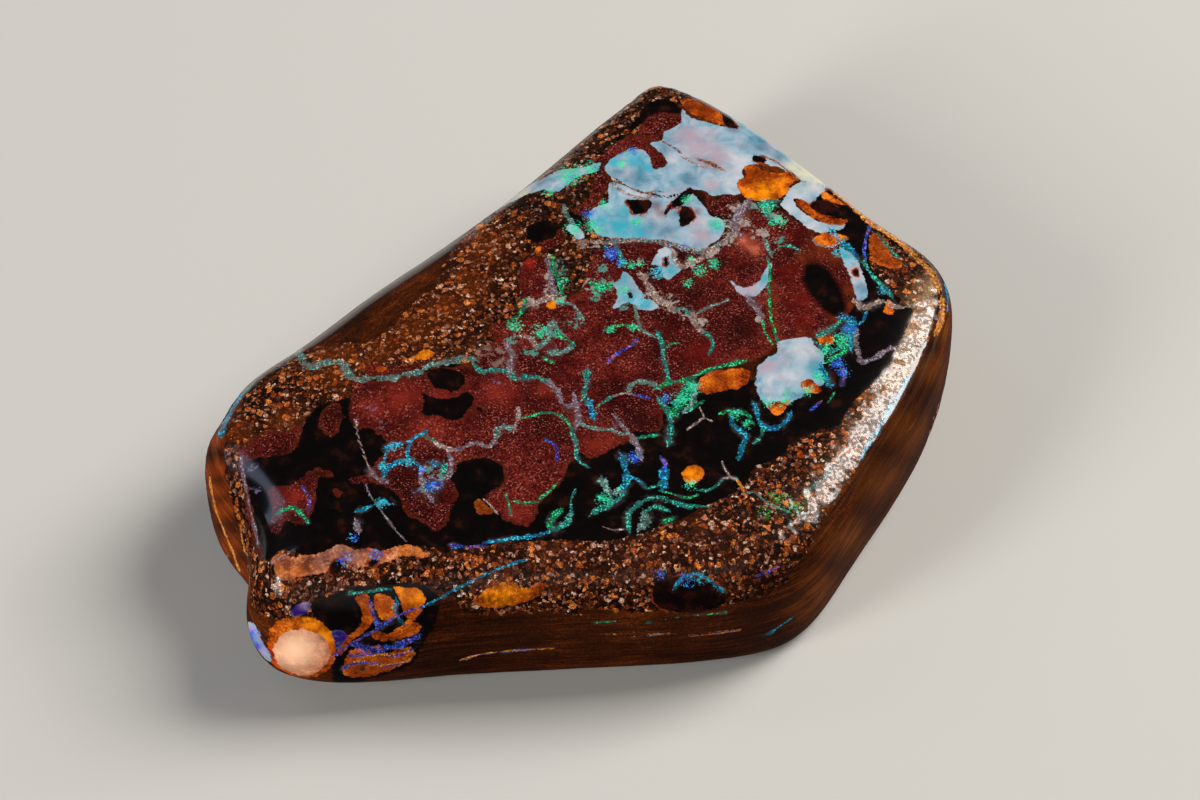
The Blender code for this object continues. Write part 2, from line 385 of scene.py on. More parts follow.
INCLUSIONS = (
    ((752, 157), (757, 155), (764, 158), (768, 164), (760, 163), (754, 161)),
    ((626, 201), (636, 199), (648, 199), (652, 206), (644, 213), (634, 214), (630, 207)),
    ((664, 212), (670, 205), (680, 194), (690, 187), (694, 192), (686, 199), (682, 206), (672, 208),
     (666, 216)),
    ((680, 212), (684, 206), (692, 210), (695, 218), (688, 224), (680, 227), (679, 218)),
    ((810, 206), (816, 201), (828, 201), (836, 206), (842, 212), (838, 217), (824, 215), (814, 210)),
    ((722, 114), (728, 112), (734, 122), (737, 128), (726, 126)),
    ((826, 189), (834, 190), (846, 196), (856, 204), (846, 204), (836, 198)),
    ((368, 560), (376, 558), (378, 565), (370, 567)),
    ((332, 562), (340, 560), (344, 566), (336, 574), (330, 572)),
    ((652, 590), (662, 580), (686, 576), (712, 582), (726, 594), (722, 606), (696, 613), (666, 611),
     (654, 602)),
    ((853, 271), (857, 269), (859, 275), (854, 276)),
    ((663, 258), (667, 257), (669, 263), (665, 266)),
    ((627, 293), (632, 292), (633, 298), (628, 298)),
)

# Veins: half width in pixels, tone from 0 (grey) through lilac, pale teal, teal, green, cyan, blue and gold
# to 1 (umber), and the route in picture pixels.
GREY, LILAC, MIST, TEAL, GREEN, CYAN, BLUE, GOLD, UMBER = (k / 8 for k in range(9))
VEINS = (
    (3.5, MIST, (
        (298, 350), (308, 366), (325, 362), (340, 362), (348, 372), (358, 380), (372, 377), (386, 379),
        (402, 375), (418, 373), (428, 366), (440, 363), (452, 361), (462, 357), (474, 360),
    )),
    (2.6, TEAL, (
        (474, 364), (482, 372), (492, 370), (508, 371), (514, 378), (524, 377), (538, 378), (548, 382),
    )),
    (3.2, LILAC, ((548, 382), (556, 389), (560, 396), (563, 404), (570, 406))),
    (3.0, LILAC, ((506, 345), (512, 354), (509, 365), (510, 376))),
    (1.6, GREEN, ((522, 418), (532, 416), (541, 413), (551, 413), (560, 416), (568, 422), (573, 432))),
    (1.6, GREY, ((514, 431), (516, 423), (519, 415), (518, 408))),
    (3.4, MIST, ((496, 437), (498, 430), (504, 426), (513, 428))),
    (2.6, LILAC, ((497, 434), (494, 442), (486, 446), (477, 443), (466, 446), (455, 450))),
    (2.2, GREY, ((455, 450), (446, 448), (437, 444), (430, 439))),
    (2.0, GREEN, ((424, 436), (430, 438), (433, 440))),
    (2.1, TEAL, ((572, 432), (576, 444), (576, 455), (580, 462), (588, 467))),
    (2.0, MIST, ((578, 422), (587, 427), (600, 429), (612, 430), (622, 434), (629, 433))),
    (3.0, LILAC, ((616, 418), (624, 427), (632, 436), (637, 446), (641, 457))),
    (1.8, GREEN, ((638, 438), (648, 436), (657, 435))),
    (3.0, TEAL, ((660, 400), (665, 409), (670, 420), (671, 430), (669, 441))),
    (2.4, TEAL, ((658, 334), (662, 345), (663, 356), (666, 366), (668, 376), (670, 383))),
    (1.3, GREEN, ((664, 349), (671, 344), (678, 343))),
    (1.5, TEAL, ((597, 407), (606, 400), (614, 396))),
    (1.5, GREY, ((614, 396), (624, 393), (632, 394))),
    (1.5, BLUE, ((634, 395), (642, 396), (649, 398))),
    (2.6, MIST, ((628, 391), (632, 384), (641, 381), (651, 384), (658, 388))),
    (3.6, CYAN, ((589, 402), (590, 408), (593, 416))),
    (2.8, TEAL, ((587, 372), (586, 384), (583, 398))),
    (2.6, LILAC, ((574, 395), (577, 405), (578, 417), (576, 428))),
    (1.6, BLUE, ((608, 362), (614, 356), (621, 351), (630, 347), (637, 340))),
    (2.0, GREEN, ((556, 331), (562, 338), (569, 340), (573, 346))),
    (3.0, MIST, ((550, 352), (558, 352), (567, 350), (572, 344))),
    (2.0, GREEN, ((546, 359), (552, 362))),
    (3.0, MIST, ((538, 347), (547, 341), (550, 331), (552, 323))),
    (2.2, GREY, ((521, 336), (529, 337), (536, 346))),
    (2.6, GREEN, ((512, 319), (518, 316), (523, 308), (525, 301))),
    (1.8, GREEN, ((604, 331), (614, 326), (625, 325), (636, 326))),
    (1.6, MIST, ((636, 326), (645, 332), (655, 337))),
    (2.4, GREEN, (
        (656, 388), (664, 385), (672, 382), (684, 380), (695, 376), (704, 371), (716, 367), (730, 364),
        (744, 361),
    )),
    (1.6, MIST, ((635, 306), (637, 316), (640, 326))),
    (5.0, GREEN, ((675, 412), (681, 403), (687, 393), (692, 384))),
    (3.0, MIST, ((694, 384), (694, 394), (692, 404), (684, 412))),
    (1.6, GREEN, ((690, 410), (697, 405), (702, 402))),
    (3.2, TEAL, ((595, 512), (601, 507), (609, 505), (617, 500), (622, 494))),
    (4.0, MIST, ((603, 481), (607, 488), (614, 493), (621, 490))),
    (3.4, CYAN, ((622, 489), (627, 480), (626, 470), (622, 458))),
    (1.8, CYAN, ((630, 477), (638, 480), (645, 487))),
    (1.6, TEAL, ((648, 488), (656, 486), (661, 484))),
    (4.2, CYAN, ((663, 484), (664, 476), (664, 470))),
    (1.6, BLUE, ((665, 470), (665, 464), (661, 458))),
    (2.5, TEAL, (
        (629, 529), (628, 520), (630, 512), (636, 506), (646, 500), (658, 497), (668, 500), (678, 504),
        (690, 506), (699, 506),
    )),
    (1.2, GREEN, ((700, 506), (710, 507))),
    (1.0, GREY, ((604, 527), (614, 530), (624, 529))),
    (4.0, MIST, ((641, 527), (645, 522), (644, 515))),
    (2.2, TEAL, ((645, 513), (650, 508), (659, 507), (668, 511))),
    (2.6, GREEN, ((665, 522), (673, 518))),
    (1.2, GREEN, ((660, 491), (670, 493), (680, 496), (688, 498), (697, 495))),
    (1.4, TEAL, ((698, 490), (708, 490), (716, 486), (723, 479))),
    (1.4, GREY, ((724, 478), (730, 477), (736, 479))),
    (1.5, GOLD, ((737, 480), (741, 486), (745, 493))),
    (1.2, MIST, ((746, 493), (755, 492), (762, 498), (772, 505), (790, 512))),
    (1.0, GREY, ((722, 462), (725, 469), (729, 475))),
    (2.6, CYAN, ((739, 457), (742, 446), (747, 437), (741, 431), (733, 424), (731, 416))),
    (1.8, GREEN, ((722, 413), (730, 410), (740, 411), (750, 417), (746, 426))),
    (2.7, CYAN, ((754, 404), (757, 412), (760, 422), (768, 428), (778, 427), (787, 421), (790, 414))),
    (1.9, TEAL, ((763, 429), (761, 436), (755, 442))),
    (1.2, GREY, ((688, 429), (697, 423), (704, 418), (711, 421))),
    (1.0, GREY, ((700, 408), (704, 417))),
    (2.6, GREEN, ((848, 345), (843, 352), (835, 358), (826, 362))),
    (2.6, TEAL, ((816, 343), (824, 349), (834, 350), (842, 346))),
    (3.0, CYAN, ((822, 366), (826, 376), (830, 386))),
    (1.6, BLUE, ((840, 360), (844, 372), (842, 384))),
    (2.0, BLUE, ((812, 409), (820, 402))),
    (1.4, GREEN, ((829, 401), (834, 393))),
    (3.0, TEAL, ((818, 336), (828, 331), (835, 325), (842, 319))),
    (4.6, CYAN, ((842, 318), (850, 319), (852, 327), (850, 336), (851, 345))),
    (1.5, CYAN, ((854, 325), (862, 322), (866, 313))),
    (2.6, LILAC, ((856, 330), (855, 342), (859, 354), (862, 362), (875, 358), (884, 352), (893, 348))),
    (1.8, GREY, ((893, 348), (899, 352), (908, 358), (920, 356))),
    (3.0, GREY, ((855, 301), (862, 307), (870, 306), (880, 301), (890, 303))),
    (2.2, GREY, ((893, 307), (905, 307), (918, 305), (928, 308), (936, 318))),
    (2.2, TEAL, ((864, 262), (868, 270), (876, 279), (885, 288), (892, 297))),
    (3.0, CYAN, ((832, 232), (840, 241), (850, 248), (857, 258))),
    (1.6, BLUE, ((870, 226), (866, 238), (864, 250), (865, 258))),
    (1.5, TEAL, ((878, 233), (885, 243), (892, 251), (899, 257))),
    (1.4, GREEN, ((768, 258), (770, 272), (769, 286), (770, 302), (771, 318), (775, 332), (778, 342))),
    (3.0, LILAC, ((748, 298), (757, 308), (762, 318))),
    (1.3, GREEN, ((762, 320), (765, 332), (772, 343))),
    (3.6, GREY, ((642, 276), (648, 286), (655, 297), (664, 304), (676, 311))),
    (2.0, TEAL, ((676, 308), (684, 309), (690, 316))),
    (3.6, GREY, ((692, 316), (695, 323), (700, 329))),
    (2.6, GREY, (
        (662, 243), (672, 249), (674, 258), (680, 267), (690, 264), (700, 260), (706, 253), (714, 247),
    )),
    (1.8, TEAL, ((702, 330), (709, 336), (713, 344), (710, 352))),
    (1.5, MIST, ((698, 313), (710, 306), (721, 303), (729, 299))),
    (1.4, TEAL, ((770, 256), (778, 248), (790, 246), (800, 250))),
    (1.8, MIST, ((764, 238), (768, 248), (772, 256))),
    (2.2, GREY, (
        (610, 242), (640, 240), (666, 243), (690, 249), (704, 250), (720, 243), (734, 234), (744, 222),
    )),
    (4.0, LILAC, ((738, 234), (734, 222), (742, 210), (748, 202))),
    (2.2, TEAL, ((776, 222), (770, 218), (764, 210), (762, 204), (776, 201))),
    (3.0, LILAC, ((548, 262), (551, 274), (552, 284), (556, 294))),
    (2.4, GREEN, ((551, 262), (555, 272), (559, 282), (562, 292))),
    (3.4, GREY, ((524, 304), (532, 303), (542, 300), (552, 296))),
    (2.4, MIST, ((564, 206), (566, 214), (572, 222))),
    (2.4, MIST, ((560, 303), (568, 303), (576, 308), (581, 318))),
    (3.0, GREEN, ((592, 284), (600, 288), (610, 286))),
    (2.6, GREY, ((580, 242), (596, 242), (610, 243))),
    (1.8, BLUE, ((606, 248), (609, 256), (615, 258))),
    (1.8, TEAL, ((616, 246), (621, 256), (624, 266))),
    (2.5, CYAN, ((388, 447), (396, 445), (405, 443), (412, 440), (418, 436), (424, 433))),
    (1.6, CYAN, ((388, 450), (384, 460), (380, 468))),
    (3.0, CYAN, ((384, 474), (387, 468), (394, 464), (403, 461), (410, 460))),
    (2.0, CYAN, ((410, 444), (407, 452), (409, 459), (417, 464), (425, 468))),
    (3.0, LILAC, ((370, 470), (376, 478), (384, 481))),
    (3.2, LILAC, ((424, 468), (421, 479), (425, 490), (432, 500))),
    (2.2, LILAC, ((448, 452), (452, 464), (448, 477), (439, 480), (430, 477))),
    (3.2, CYAN, ((433, 463), (437, 464))),
    (3.0, TEAL, ((444, 465), (444, 471))),
    (6.0, BLUE, ((426, 488), (434, 485))),
    (0.8, GREY, ((356, 420), (358, 435), (362, 448), (366, 460), (370, 470))),
    (0.9, LILAC, ((366, 484), (370, 495), (379, 508), (388, 520), (396, 531), (406, 541))),
    (4.0, CYAN, ((380, 502), (386, 503))),
    (2.0, CYAN, ((358, 511), (366, 508), (373, 505))),
    (3.0, LILAC, ((356, 522), (358, 530))),
    (1.8, BLUE, ((452, 545), (468, 547), (484, 545))),
    (2.0, CYAN, ((485, 543), (495, 541), (510, 539), (526, 537), (541, 534), (552, 531))),
    (3.4, TEAL, ((552, 530), (561, 527), (568, 521), (571, 513))),
    (2.0, GREEN, ((516, 502), (525, 503), (535, 502))),
    (1.4, GREEN, ((541, 498), (550, 490), (557, 483))),
    (1.3, GREEN, ((506, 495), (509, 505), (511, 515))),
    (1.7, BLUE, ((546, 440), (554, 444), (557, 452), (557, 459))),
    (3.0, GREEN, ((549, 524), (553, 517), (560, 510))),
    (1.2, TEAL, ((571, 510), (571, 500), (575, 490))),
    (1.2, GREY, ((485, 500), (492, 507), (497, 513))),
    (2.2, GREEN, ((275, 515), (283, 510), (292, 507), (300, 512), (306, 520))),
    (1.4, BLUE, ((303, 487), (309, 498), (308, 512))),
    (1.6, LILAC, ((241, 458), (243, 475), (247, 495), (252, 520), (258, 545))),
    (1.7, BLUE, ((335, 655), (355, 642), (375, 630), (400, 615), (424, 606))),
    (1.3, CYAN, ((424, 606), (440, 598), (458, 588), (480, 577), (500, 568), (524, 560))),
    (2.0, BLUE, ((370, 600), (373, 612), (377, 625))),
    (2.6, CYAN, ((396, 600), (396, 612), (402, 622))),
    (3.6, BLUE, ((355, 645), (370, 649), (390, 648), (405, 643), (416, 637))),
    (1.6, TEAL, ((350, 592), (365, 592), (378, 590), (391, 589))),
    (1.8, BLUE, ((352, 656), (375, 654), (398, 656), (412, 650))),
    (1.8, BLUE, ((344, 668), (360, 662), (384, 666), (404, 662))),
    (1.8, CYAN, ((675, 588), (682, 578), (695, 574), (706, 578), (715, 585), (723, 592))),
    (0.9, GREEN, ((590, 624), (620, 622), (650, 622), (680, 618), (710, 615), (726, 612))),
    (0.9, CYAN, ((750, 640), (760, 638), (772, 632), (783, 625), (793, 618))),
    (1.6, BLUE, ((758, 576), (768, 572), (778, 567))),
    # The two gold lines along the far right rim are painted light: the glow of light shining through the
    # thin, translucent edge, laid on as a gold seam.
    (3.2, GOLD, ((837, 192), (854, 207), (873, 224), (900, 242), (918, 259), (932, 274), (938, 289))),
    (3.2, GOLD, ((942, 300), (942, 316), (937, 332))),
    (1.0, CYAN, ((945, 282), (948, 298), (947, 312))),
    (2.6, MIST, ((830, 470), (818, 482), (808, 490))),
    (2.6, CYAN, ((910, 375), (897, 398), (884, 420), (872, 440), (862, 456))),
    (2.6, CYAN, ((221, 434), (226, 418), (234, 405), (244, 392))),
    (2.6, MIST, ((244, 392), (256, 378), (272, 364), (288, 354), (300, 346))),
    (1.2, UMBER, ((613, 181), (625, 185), (635, 190), (645, 193), (655, 191), (663, 192))),
    (2.2, GREY, ((614, 185), (622, 191), (632, 196), (644, 198), (654, 196))),
    (1.2, UMBER, ((763, 156), (775, 161), (783, 167), (790, 172), (800, 180))),
    (1.4, GREY, ((683, 157), (690, 161), (698, 165), (706, 168))),
    (2.2, UMBER, ((698, 159), (706, 162), (714, 165), (722, 170))),
    (1.5, UMBER, ((664, 142), (672, 147), (680, 152))),
    (1.5, GREY, ((813, 238), (815, 243), (822, 246), (832, 246), (840, 241), (845, 238))),
    (1.0, UMBER, ((606, 239), (640, 241), (666, 244), (690, 252), (702, 252), (718, 245), (730, 238))),
    (1.4, UMBER, ((352, 664), (366, 657), (382, 655), (398, 655), (410, 648))),
    (1.4, UMBER, ((356, 673), (372, 666), (388, 665), (404, 661), (414, 654))),
    # The next three gold lines down the left wall: partly golden streaks in the ironstone, partly painted
    # highlights of its glossy streaks.
    (1.0, GOLD, ((209, 478), (213, 500), (219, 520), (227, 540), (236, 562), (243, 585))),
    (0.7, GOLD, ((207, 510), (213, 527), (220, 543), (228, 558))),
    (0.8, GOLD, ((240, 530), (242, 542), (245, 554))),
    (0.8, GOLD, ((460, 661), (480, 655), (510, 651), (560, 649))),
    (1.0, UMBER, ((595, 636), (640, 634), (690, 635), (740, 630))),
)

# Soft patches of colour, by the layer that they lie in: how strong, sRGB colour, then places in picture
# pixels with their radius.
TINTS = {
    "ground": (
        # The pale sand along the right rim, in these two patches: partly the sand's own paler colour, partly
        # a painted highlight where the right softbox is mirrored on the rounded rim.
        (0.70, (206, 164, 122), (
            (932, 288, 14), (926, 306, 16), (915, 330, 18), (903, 356, 18), (890, 382, 18),
        )),
        (0.40, (176, 130, 92), (
            (878, 406, 18), (864, 430, 18), (850, 452, 16), (834, 474, 16), (818, 496, 14),
        )),
        (0.85, (16, 7, 4), (
            (562, 190, 22), (538, 212, 18), (590, 186, 14), (560, 268, 18), (566, 290, 12), (522, 205, 12),
            (662, 92, 16), (642, 104, 14), (684, 92, 12), (300, 600, 14), (440, 605, 20), (462, 618, 16),
            (760, 588, 26), (790, 580, 22), (250, 500, 8),
        )),
        (0.50, (122, 52, 8), (
            (440, 310, 26), (482, 246, 26), (410, 328, 24), (340, 352, 24), (380, 350, 20), (470, 285, 22),
            (335, 375, 20), (290, 420, 18), (250, 450, 14), (238, 430, 14),
        )),
        (0.40, (78, 34, 22), (
            (640, 560, 30), (700, 540, 24), (560, 560, 30), (500, 572, 24), (740, 560, 24),
        )),
    ),
    "wall": (
        (0.80, (6, 3, 1), ((662, 98, 20), (640, 108, 16))),
        (0.90, (150, 62, 8), (
            (222, 510, 12), (229, 546, 12), (214, 470, 12), (218, 490, 10), (236, 572, 11), (212, 440, 10),
            (242, 590, 8),
        )),
        (0.80, (112, 58, 14), (
            (905, 430, 26), (880, 480, 26), (850, 540, 24), (820, 590, 22), (930, 370, 20), (940, 330, 14),
            (800, 610, 16),
        )),
        # The front wall made darker: partly the ironstone's own dark brown, partly painted shade on a wall
        # that the light from above hardly reaches.
        (0.70, (38, 13, 3), ((520, 640, 34), (600, 640, 34), (680, 636, 34), (750, 626, 26))),
    ),
    "red": (
        (0.90, (14, 3, 2), ((700, 296, 4), (481, 410, 4), (680, 256, 5))),
        (0.80, (104, 40, 10), (
            (820, 248, 13), (804, 258, 9), (836, 258, 8), (850, 290, 7), (852, 306, 8), (773, 285, 5),
            (774, 298, 5), (774, 312, 5), (776, 326, 5), (778, 338, 5), (742, 216, 8), (784, 206, 8),
            (800, 333, 8), (836, 316, 8),
        )),
        (0.85, (192, 96, 72), ((750, 244, 7), (756, 250, 6), (744, 240, 6))),
        (0.90, (186, 34, 14), ((527, 262, 6), (521, 262, 4))),
        (0.75, (122, 34, 22), (
            (520, 512, 12), (598, 444, 14), (400, 396, 20), (445, 404, 16), (500, 390, 14), (545, 388, 10),
            (425, 430, 16), (295, 496, 12), (372, 408, 14), (360, 440, 12),
        )),
        (0.75, (26, 5, 4), (
            (690, 290, 16), (740, 330, 20), (640, 420, 12), (340, 415, 14), (745, 268, 12), (720, 262, 10),
            (470, 480, 10), (350, 484, 12), (300, 520, 10),
        )),
        (0.70, (86, 12, 7), (
            (800, 300, 16), (792, 270, 14), (800, 320, 14), (790, 234, 10), (700, 350, 16),
        )),
    ),
    "milk": (
        (0.90, (112, 90, 82), ((482, 350, 11), (497, 362, 9), (500, 350, 8))),
        (0.95, (156, 142, 136), (
            (548, 276, 7), (550, 288, 7), (560, 300, 7), (590, 284, 8), (654, 296, 9), (670, 302, 9),
            (688, 313, 8), (668, 258, 10), (690, 262, 7), (726, 226, 10), (735, 210, 10), (746, 203, 9),
            (730, 238, 10), (760, 234, 9), (778, 218, 9), (712, 256, 6), (640, 262, 5), (742, 222, 9),
            (720, 248, 8), (532, 302, 8), (640, 300, 9), (584, 244, 6), (596, 244, 6), (700, 322, 7),
            (760, 318, 6),
        )),
        (0.90, (74, 132, 120), (
            (764, 204, 8), (776, 203, 6), (752, 204, 8), (768, 214, 8), (556, 262, 7), (562, 270, 7),
            (600, 268, 8), (608, 284, 10), (596, 296, 8), (622, 306, 8), (560, 332, 10), (576, 322, 8),
            (530, 352, 8), (512, 340, 8), (430, 470, 6), (426, 488, 7), (440, 476, 6), (700, 238, 7),
            (780, 240, 7),
        )),
        (0.60, (96, 84, 112), (
            (616, 424, 6), (636, 440, 6), (498, 380, 9), (372, 410, 9), (380, 424, 8), (358, 524, 6),
            (252, 468, 8), (256, 490, 8), (628, 480, 6), (430, 480, 9),
        )),
    ),
    "opal": (
        (0.90, (198, 192, 162), (
            (806, 172, 15), (818, 180, 9), (793, 166, 9), (520, 192, 11), (500, 203, 11), (484, 211, 10),
        )),
        (0.70, (190, 188, 194), (
            (742, 168, 12), (798, 194, 13), (814, 188, 9), (802, 350, 15), (794, 376, 11), (664, 252, 9),
            (730, 182, 12), (812, 228, 12), (790, 207, 9), (746, 160, 9), (806, 216, 9), (628, 192, 6),
            (640, 196, 6), (736, 178, 8),
        )),
        (0.85, (162, 140, 152), (
            (700, 148, 18), (718, 158, 14), (690, 135, 12), (712, 184, 9), (694, 222, 9), (702, 234, 11),
            (716, 150, 9), (748, 288, 9), (852, 268, 7), (768, 366, 8),
        )),
        (0.85, (110, 66, 78), (
            (655, 206, 7), (661, 212, 6), (642, 215, 5), (708, 163, 6), (716, 168, 5), (696, 212, 5),
        )),
        (0.80, (30, 142, 156), (
            (624, 212, 10), (636, 224, 9), (606, 232, 10), (598, 222, 8), (622, 280, 9), (628, 294, 11),
            (646, 304, 9), (670, 272, 8), (763, 278, 7), (715, 228, 9), (816, 372, 9), (614, 224, 9),
            (846, 256, 7), (840, 248, 6), (745, 124, 8), (572, 178, 8), (600, 168, 6), (608, 178, 6),
        )),
        (0.70, (56, 100, 124), (
            (666, 232, 13), (650, 226, 10), (680, 205, 7), (735, 128, 8), (760, 146, 9), (780, 158, 8),
            (618, 172, 8), (690, 178, 10), (640, 176, 12), (862, 288, 9), (678, 214, 8), (664, 150, 8),
        )),
        (0.90, (44, 56, 180), ((588, 214, 5), (631, 150, 4), (246, 636, 10), (256, 648, 9), (620, 152, 5))),
        (1.00, (40, 18, 96), ((300, 610, 26), (338, 640, 26))),
        (0.90, (52, 156, 178), (
            (620, 228, 16), (600, 222, 11), (640, 232, 11), (634, 160, 10), (614, 162, 9), (648, 168, 8),
        )),
        (0.85, (190, 150, 190), ((252, 630, 5), (262, 652, 5), (304, 604, 4))),
    ),
    "amber": (
        (0.90, (244, 140, 10), (
            (764, 192, 11), (778, 187, 9), (752, 195, 7), (692, 475, 10), (840, 235, 6), (424, 355, 8),
            (551, 304, 6), (480, 226, 6), (500, 594, 14), (520, 590, 9), (312, 622, 10), (326, 636, 10),
            (418, 598, 9), (400, 590, 7),
        )),
        (1.00, (76, 30, 8), ((484, 508, 16),)),
        (0.80, (112, 40, 6), (
            (750, 172, 8), (762, 173, 7), (704, 110, 14), (722, 380, 12), (366, 600, 9), (362, 632, 8),
            (384, 668, 16), (360, 672, 12), (690, 106, 8),
        )),
        (0.85, (142, 58, 12), ((878, 250, 14), (890, 262, 9), (872, 240, 8), (384, 606, 9))),
        (0.80, (196, 60, 14), ((270, 650, 7), (276, 664, 7), (286, 676, 8))),
    ),
    "peach": (
        (0.95, (255, 204, 166), ((296, 650, 22),)),
        (0.70, (206, 112, 38), ((404, 549, 12), (420, 551, 12), (278, 572, 8), (296, 572, 8))),
        (0.60, (128, 96, 92), ((340, 550, 12), (322, 560, 8), (352, 556, 10))),
    ),
    "glitter": (
        (1.00, (60, 222, 150), (
            (628, 153, 5), (622, 164, 6), (606, 205, 7), (637, 222, 6), (717, 224, 8), (570, 175, 13),
            (588, 168, 9), (548, 192, 6), (594, 228, 8), (574, 228, 9), (590, 222, 6), (688, 200, 6),
            (600, 288, 7), (564, 282, 6), (625, 263, 5), (632, 265, 5), (640, 263, 4), (700, 270, 7),
            (714, 264, 6), (688, 283, 5), (690, 259, 4), (634, 327, 5), (611, 330, 4), (622, 290, 6),
            (778, 222, 8), (766, 206, 8), (682, 400, 9), (692, 388, 8), (842, 340, 9), (826, 350, 8),
            (820, 376, 7), (806, 390, 7), (784, 400, 7), (768, 402, 6), (736, 414, 6), (748, 424, 5),
            (515, 326, 7), (540, 332, 9), (604, 500, 7), (690, 484, 6), (560, 300, 6),
        )),
        (0.45, (80, 190, 60), (
            (778, 500, 14), (796, 508, 12), (766, 512, 10), (552, 258, 6), (790, 392, 6),
        )),
        (1.00, (58, 92, 236), (
            (632, 151, 6), (590, 214, 7), (612, 254, 8), (686, 246, 4), (620, 262, 6), (434, 486, 7),
            (420, 470, 5), (844, 372, 6), (850, 330, 7), (838, 364, 7), (666, 398, 6), (660, 574, 6),
            (688, 580, 8), (252, 634, 6), (345, 560, 7), (376, 555, 6), (634, 458, 7), (352, 538, 5),
        )),
        (0.90, (70, 196, 226), (
            (658, 272, 8), (640, 300, 8), (840, 252, 7), (850, 262, 6), (396, 446, 6), (408, 462, 6),
            (384, 466, 5), (382, 504, 5), (700, 578, 7), (884, 290, 6),
        )),
    ),
}


def drawn_in(ring):
    """A smaller copy of a flat ring, drawn in towards its middle, which keeps the face inside it flat."""
    middle = ring.mean(axis=0)
    return middle + FLAT_SHARE * (ring - middle)


def section_rings():
    """The cage's rings, as the solid has them, from well inside the polished face to well inside the
    underside: the girth outline moved in by a share of each station's inset, at one height. The girth's
    own cage is the one whose closed cubic spline passes through the stations."""
    outline = np.array([station[1:3] for station in STATIONS])
    same = np.eye(len(outline))
    rule = (4 * same + np.roll(same, 1, axis=0) + np.roll(same, -1, axis=0)) / 6
    girth = np.linalg.solve(rule, outline)
    along = np.roll(girth, -1, axis=0) - np.roll(girth, 1, axis=0)
    normals = np.stack([-along[:, 1], along[:, 0]], axis=1)
    normals /= np.linalg.norm(normals, axis=1, keepdims=True)
    inset, drop, foot = (np.array([station[k] for station in STATIONS]) for k in (3, 4, 5))
    level = np.ones(len(STATIONS))
    offsets_and_heights = (
        (-inset, THICKNESS * level),
        (-SHOULDER_CUT * inset, THICKNESS - SHOULDER_CUT * drop),
        (BULGE * level, THICKNESS - drop),
        (0 * level, WALL_HEIGHT * level),
        (-FOOT_CUT * foot, FOOT_HEIGHT * level),
        (-foot - UNDERSIDE_INSET, 0 * level),
    )
    rings = [
        np.column_stack([girth + normals * offset[:, None], height])
        for offset, height in offsets_and_heights
    ]
    top, low = drawn_in(rings[0]), drawn_in(rings[-1])
    return np.array([drawn_in(top), top, *rings, low, drawn_in(low)])


def spline_weights(share):
    """The four weights of a uniform cubic B-spline at this share of the way between two points."""
    left = 1 - share
    weights = (left ** 3, 3 * share ** 3 - 6 * share ** 2 + 4, 3 * left ** 3 - 6 * left ** 2 + 4, share ** 3)
    return np.stack(weights, axis=-1) / 6


def on_stone(way_round, way_down, rings):
    """Points of the rounded cage: a B-spline in stations round the stone and in rings down it, plus the
    crown, a low paraboloid that fades out down the shoulder."""
    column = np.floor(way_round).astype(int)
    row = np.clip(np.floor(way_down).astype(int), 1, len(rings) - 3)
    across, down = spline_weights(way_round - column), spline_weights(way_down - row)
    points = 0
    for i, j in itertools.product(range(4), repeat=2):
        weight = (across[..., i] * down[..., j])[..., None]
        points = points + weight * rings[row + j - 1, (column + i - 1) % len(STATIONS)]
    return crowned(points)


def crowned(points):
    reach = [((points[..., k] - CROWN_MIDDLE[k]) / CROWN_REACH[k]) ** 2 for k in (0, 1)]
    low, high = CROWN_FADE
    share = np.clip((points[..., 2] - low) / (high - low), 0, 1)
    lifted = points.copy()
    lifted[..., 2] += CROWN * np.clip(1 - reach[0] - reach[1], 0, None) * share
    return lifted


def square_rim(cells):
    """The points round a square grid, clockwise from its corner at low x and high y."""
    run = np.arange(cells)
    low, high = 0 * run, 0 * run + cells
    x = np.concatenate([run, high, cells - run, low])
    y = np.concatenate([high, cells - run, low, run])
    return x * (cells + 1) + y


def square_rings(cells):
    """For each point of a square grid: which concentric square it lies on, as a share from 0 to 1, and how
    far round that square it is, as a share of its girth, clockwise from the same corner."""
    half = cells // 2
    step = np.arange(-half, half + 1)
    x, y = (part.ravel() for part in np.meshgrid(step, step, indexing="ij"))
    ring = np.maximum(abs(x), abs(y))
    passed = np.select(
        [(y == ring) & (x < ring), (x == ring) & (y > -ring), (y == -ring) & (x > -ring)],
        [x + ring, 3 * ring - y, 5 * ring - x],
        7 * ring + y,
    )
    return ring / half, passed / np.maximum(8 * ring, 1)


def flat_sheet(cells, rings, inner, outer):
    """A face of the stone as a square grid whose squares are bent to the outline: cubic between the way
    down inner and outer, and straight lines to the middle inside that."""
    ring, share = square_rings(cells)
    way_round = FIRST_CORNER + share * len(STATIONS)
    edge = FLAT_SHARE
    way_down = inner + (outer - inner) * np.clip((ring - edge) / (1 - edge), 0, 1)
    points = on_stone(way_round, way_down, rings)
    middle = on_stone(np.arange(len(STATIONS)) * 1.0, np.full(len(STATIONS), inner), rings).mean(axis=0)
    share_in = np.clip(ring / edge, 0, 1)[:, None]
    points[:, :2] = middle[:2] + (points[:, :2] - middle[:2]) * share_in
    flat = points * [1, 1, 0] + [0, 0, THICKNESS if inner < outer else 0]
    inside = (ring < edge)[:, None]
    return np.where(inside, crowned(flat), points)


def grid_faces(cells, first, flip):
    """The squares of a grid of points as vertex numbers, facing up, or down where flip is set."""
    x, y = (part.ravel() for part in np.meshgrid(np.arange(cells), np.arange(cells), indexing="ij"))
    corner = first + x * (cells + 1) + y
    faces = np.stack([corner, corner + cells + 1, corner + cells + 2, corner + 1], axis=1)
    return faces[:, ::-1] if flip else faces


def strip_faces(upper, lower):
    """The squares between two rings of vertex numbers."""
    return np.stack([upper, np.roll(upper, -1), np.roll(lower, -1), lower], axis=1)


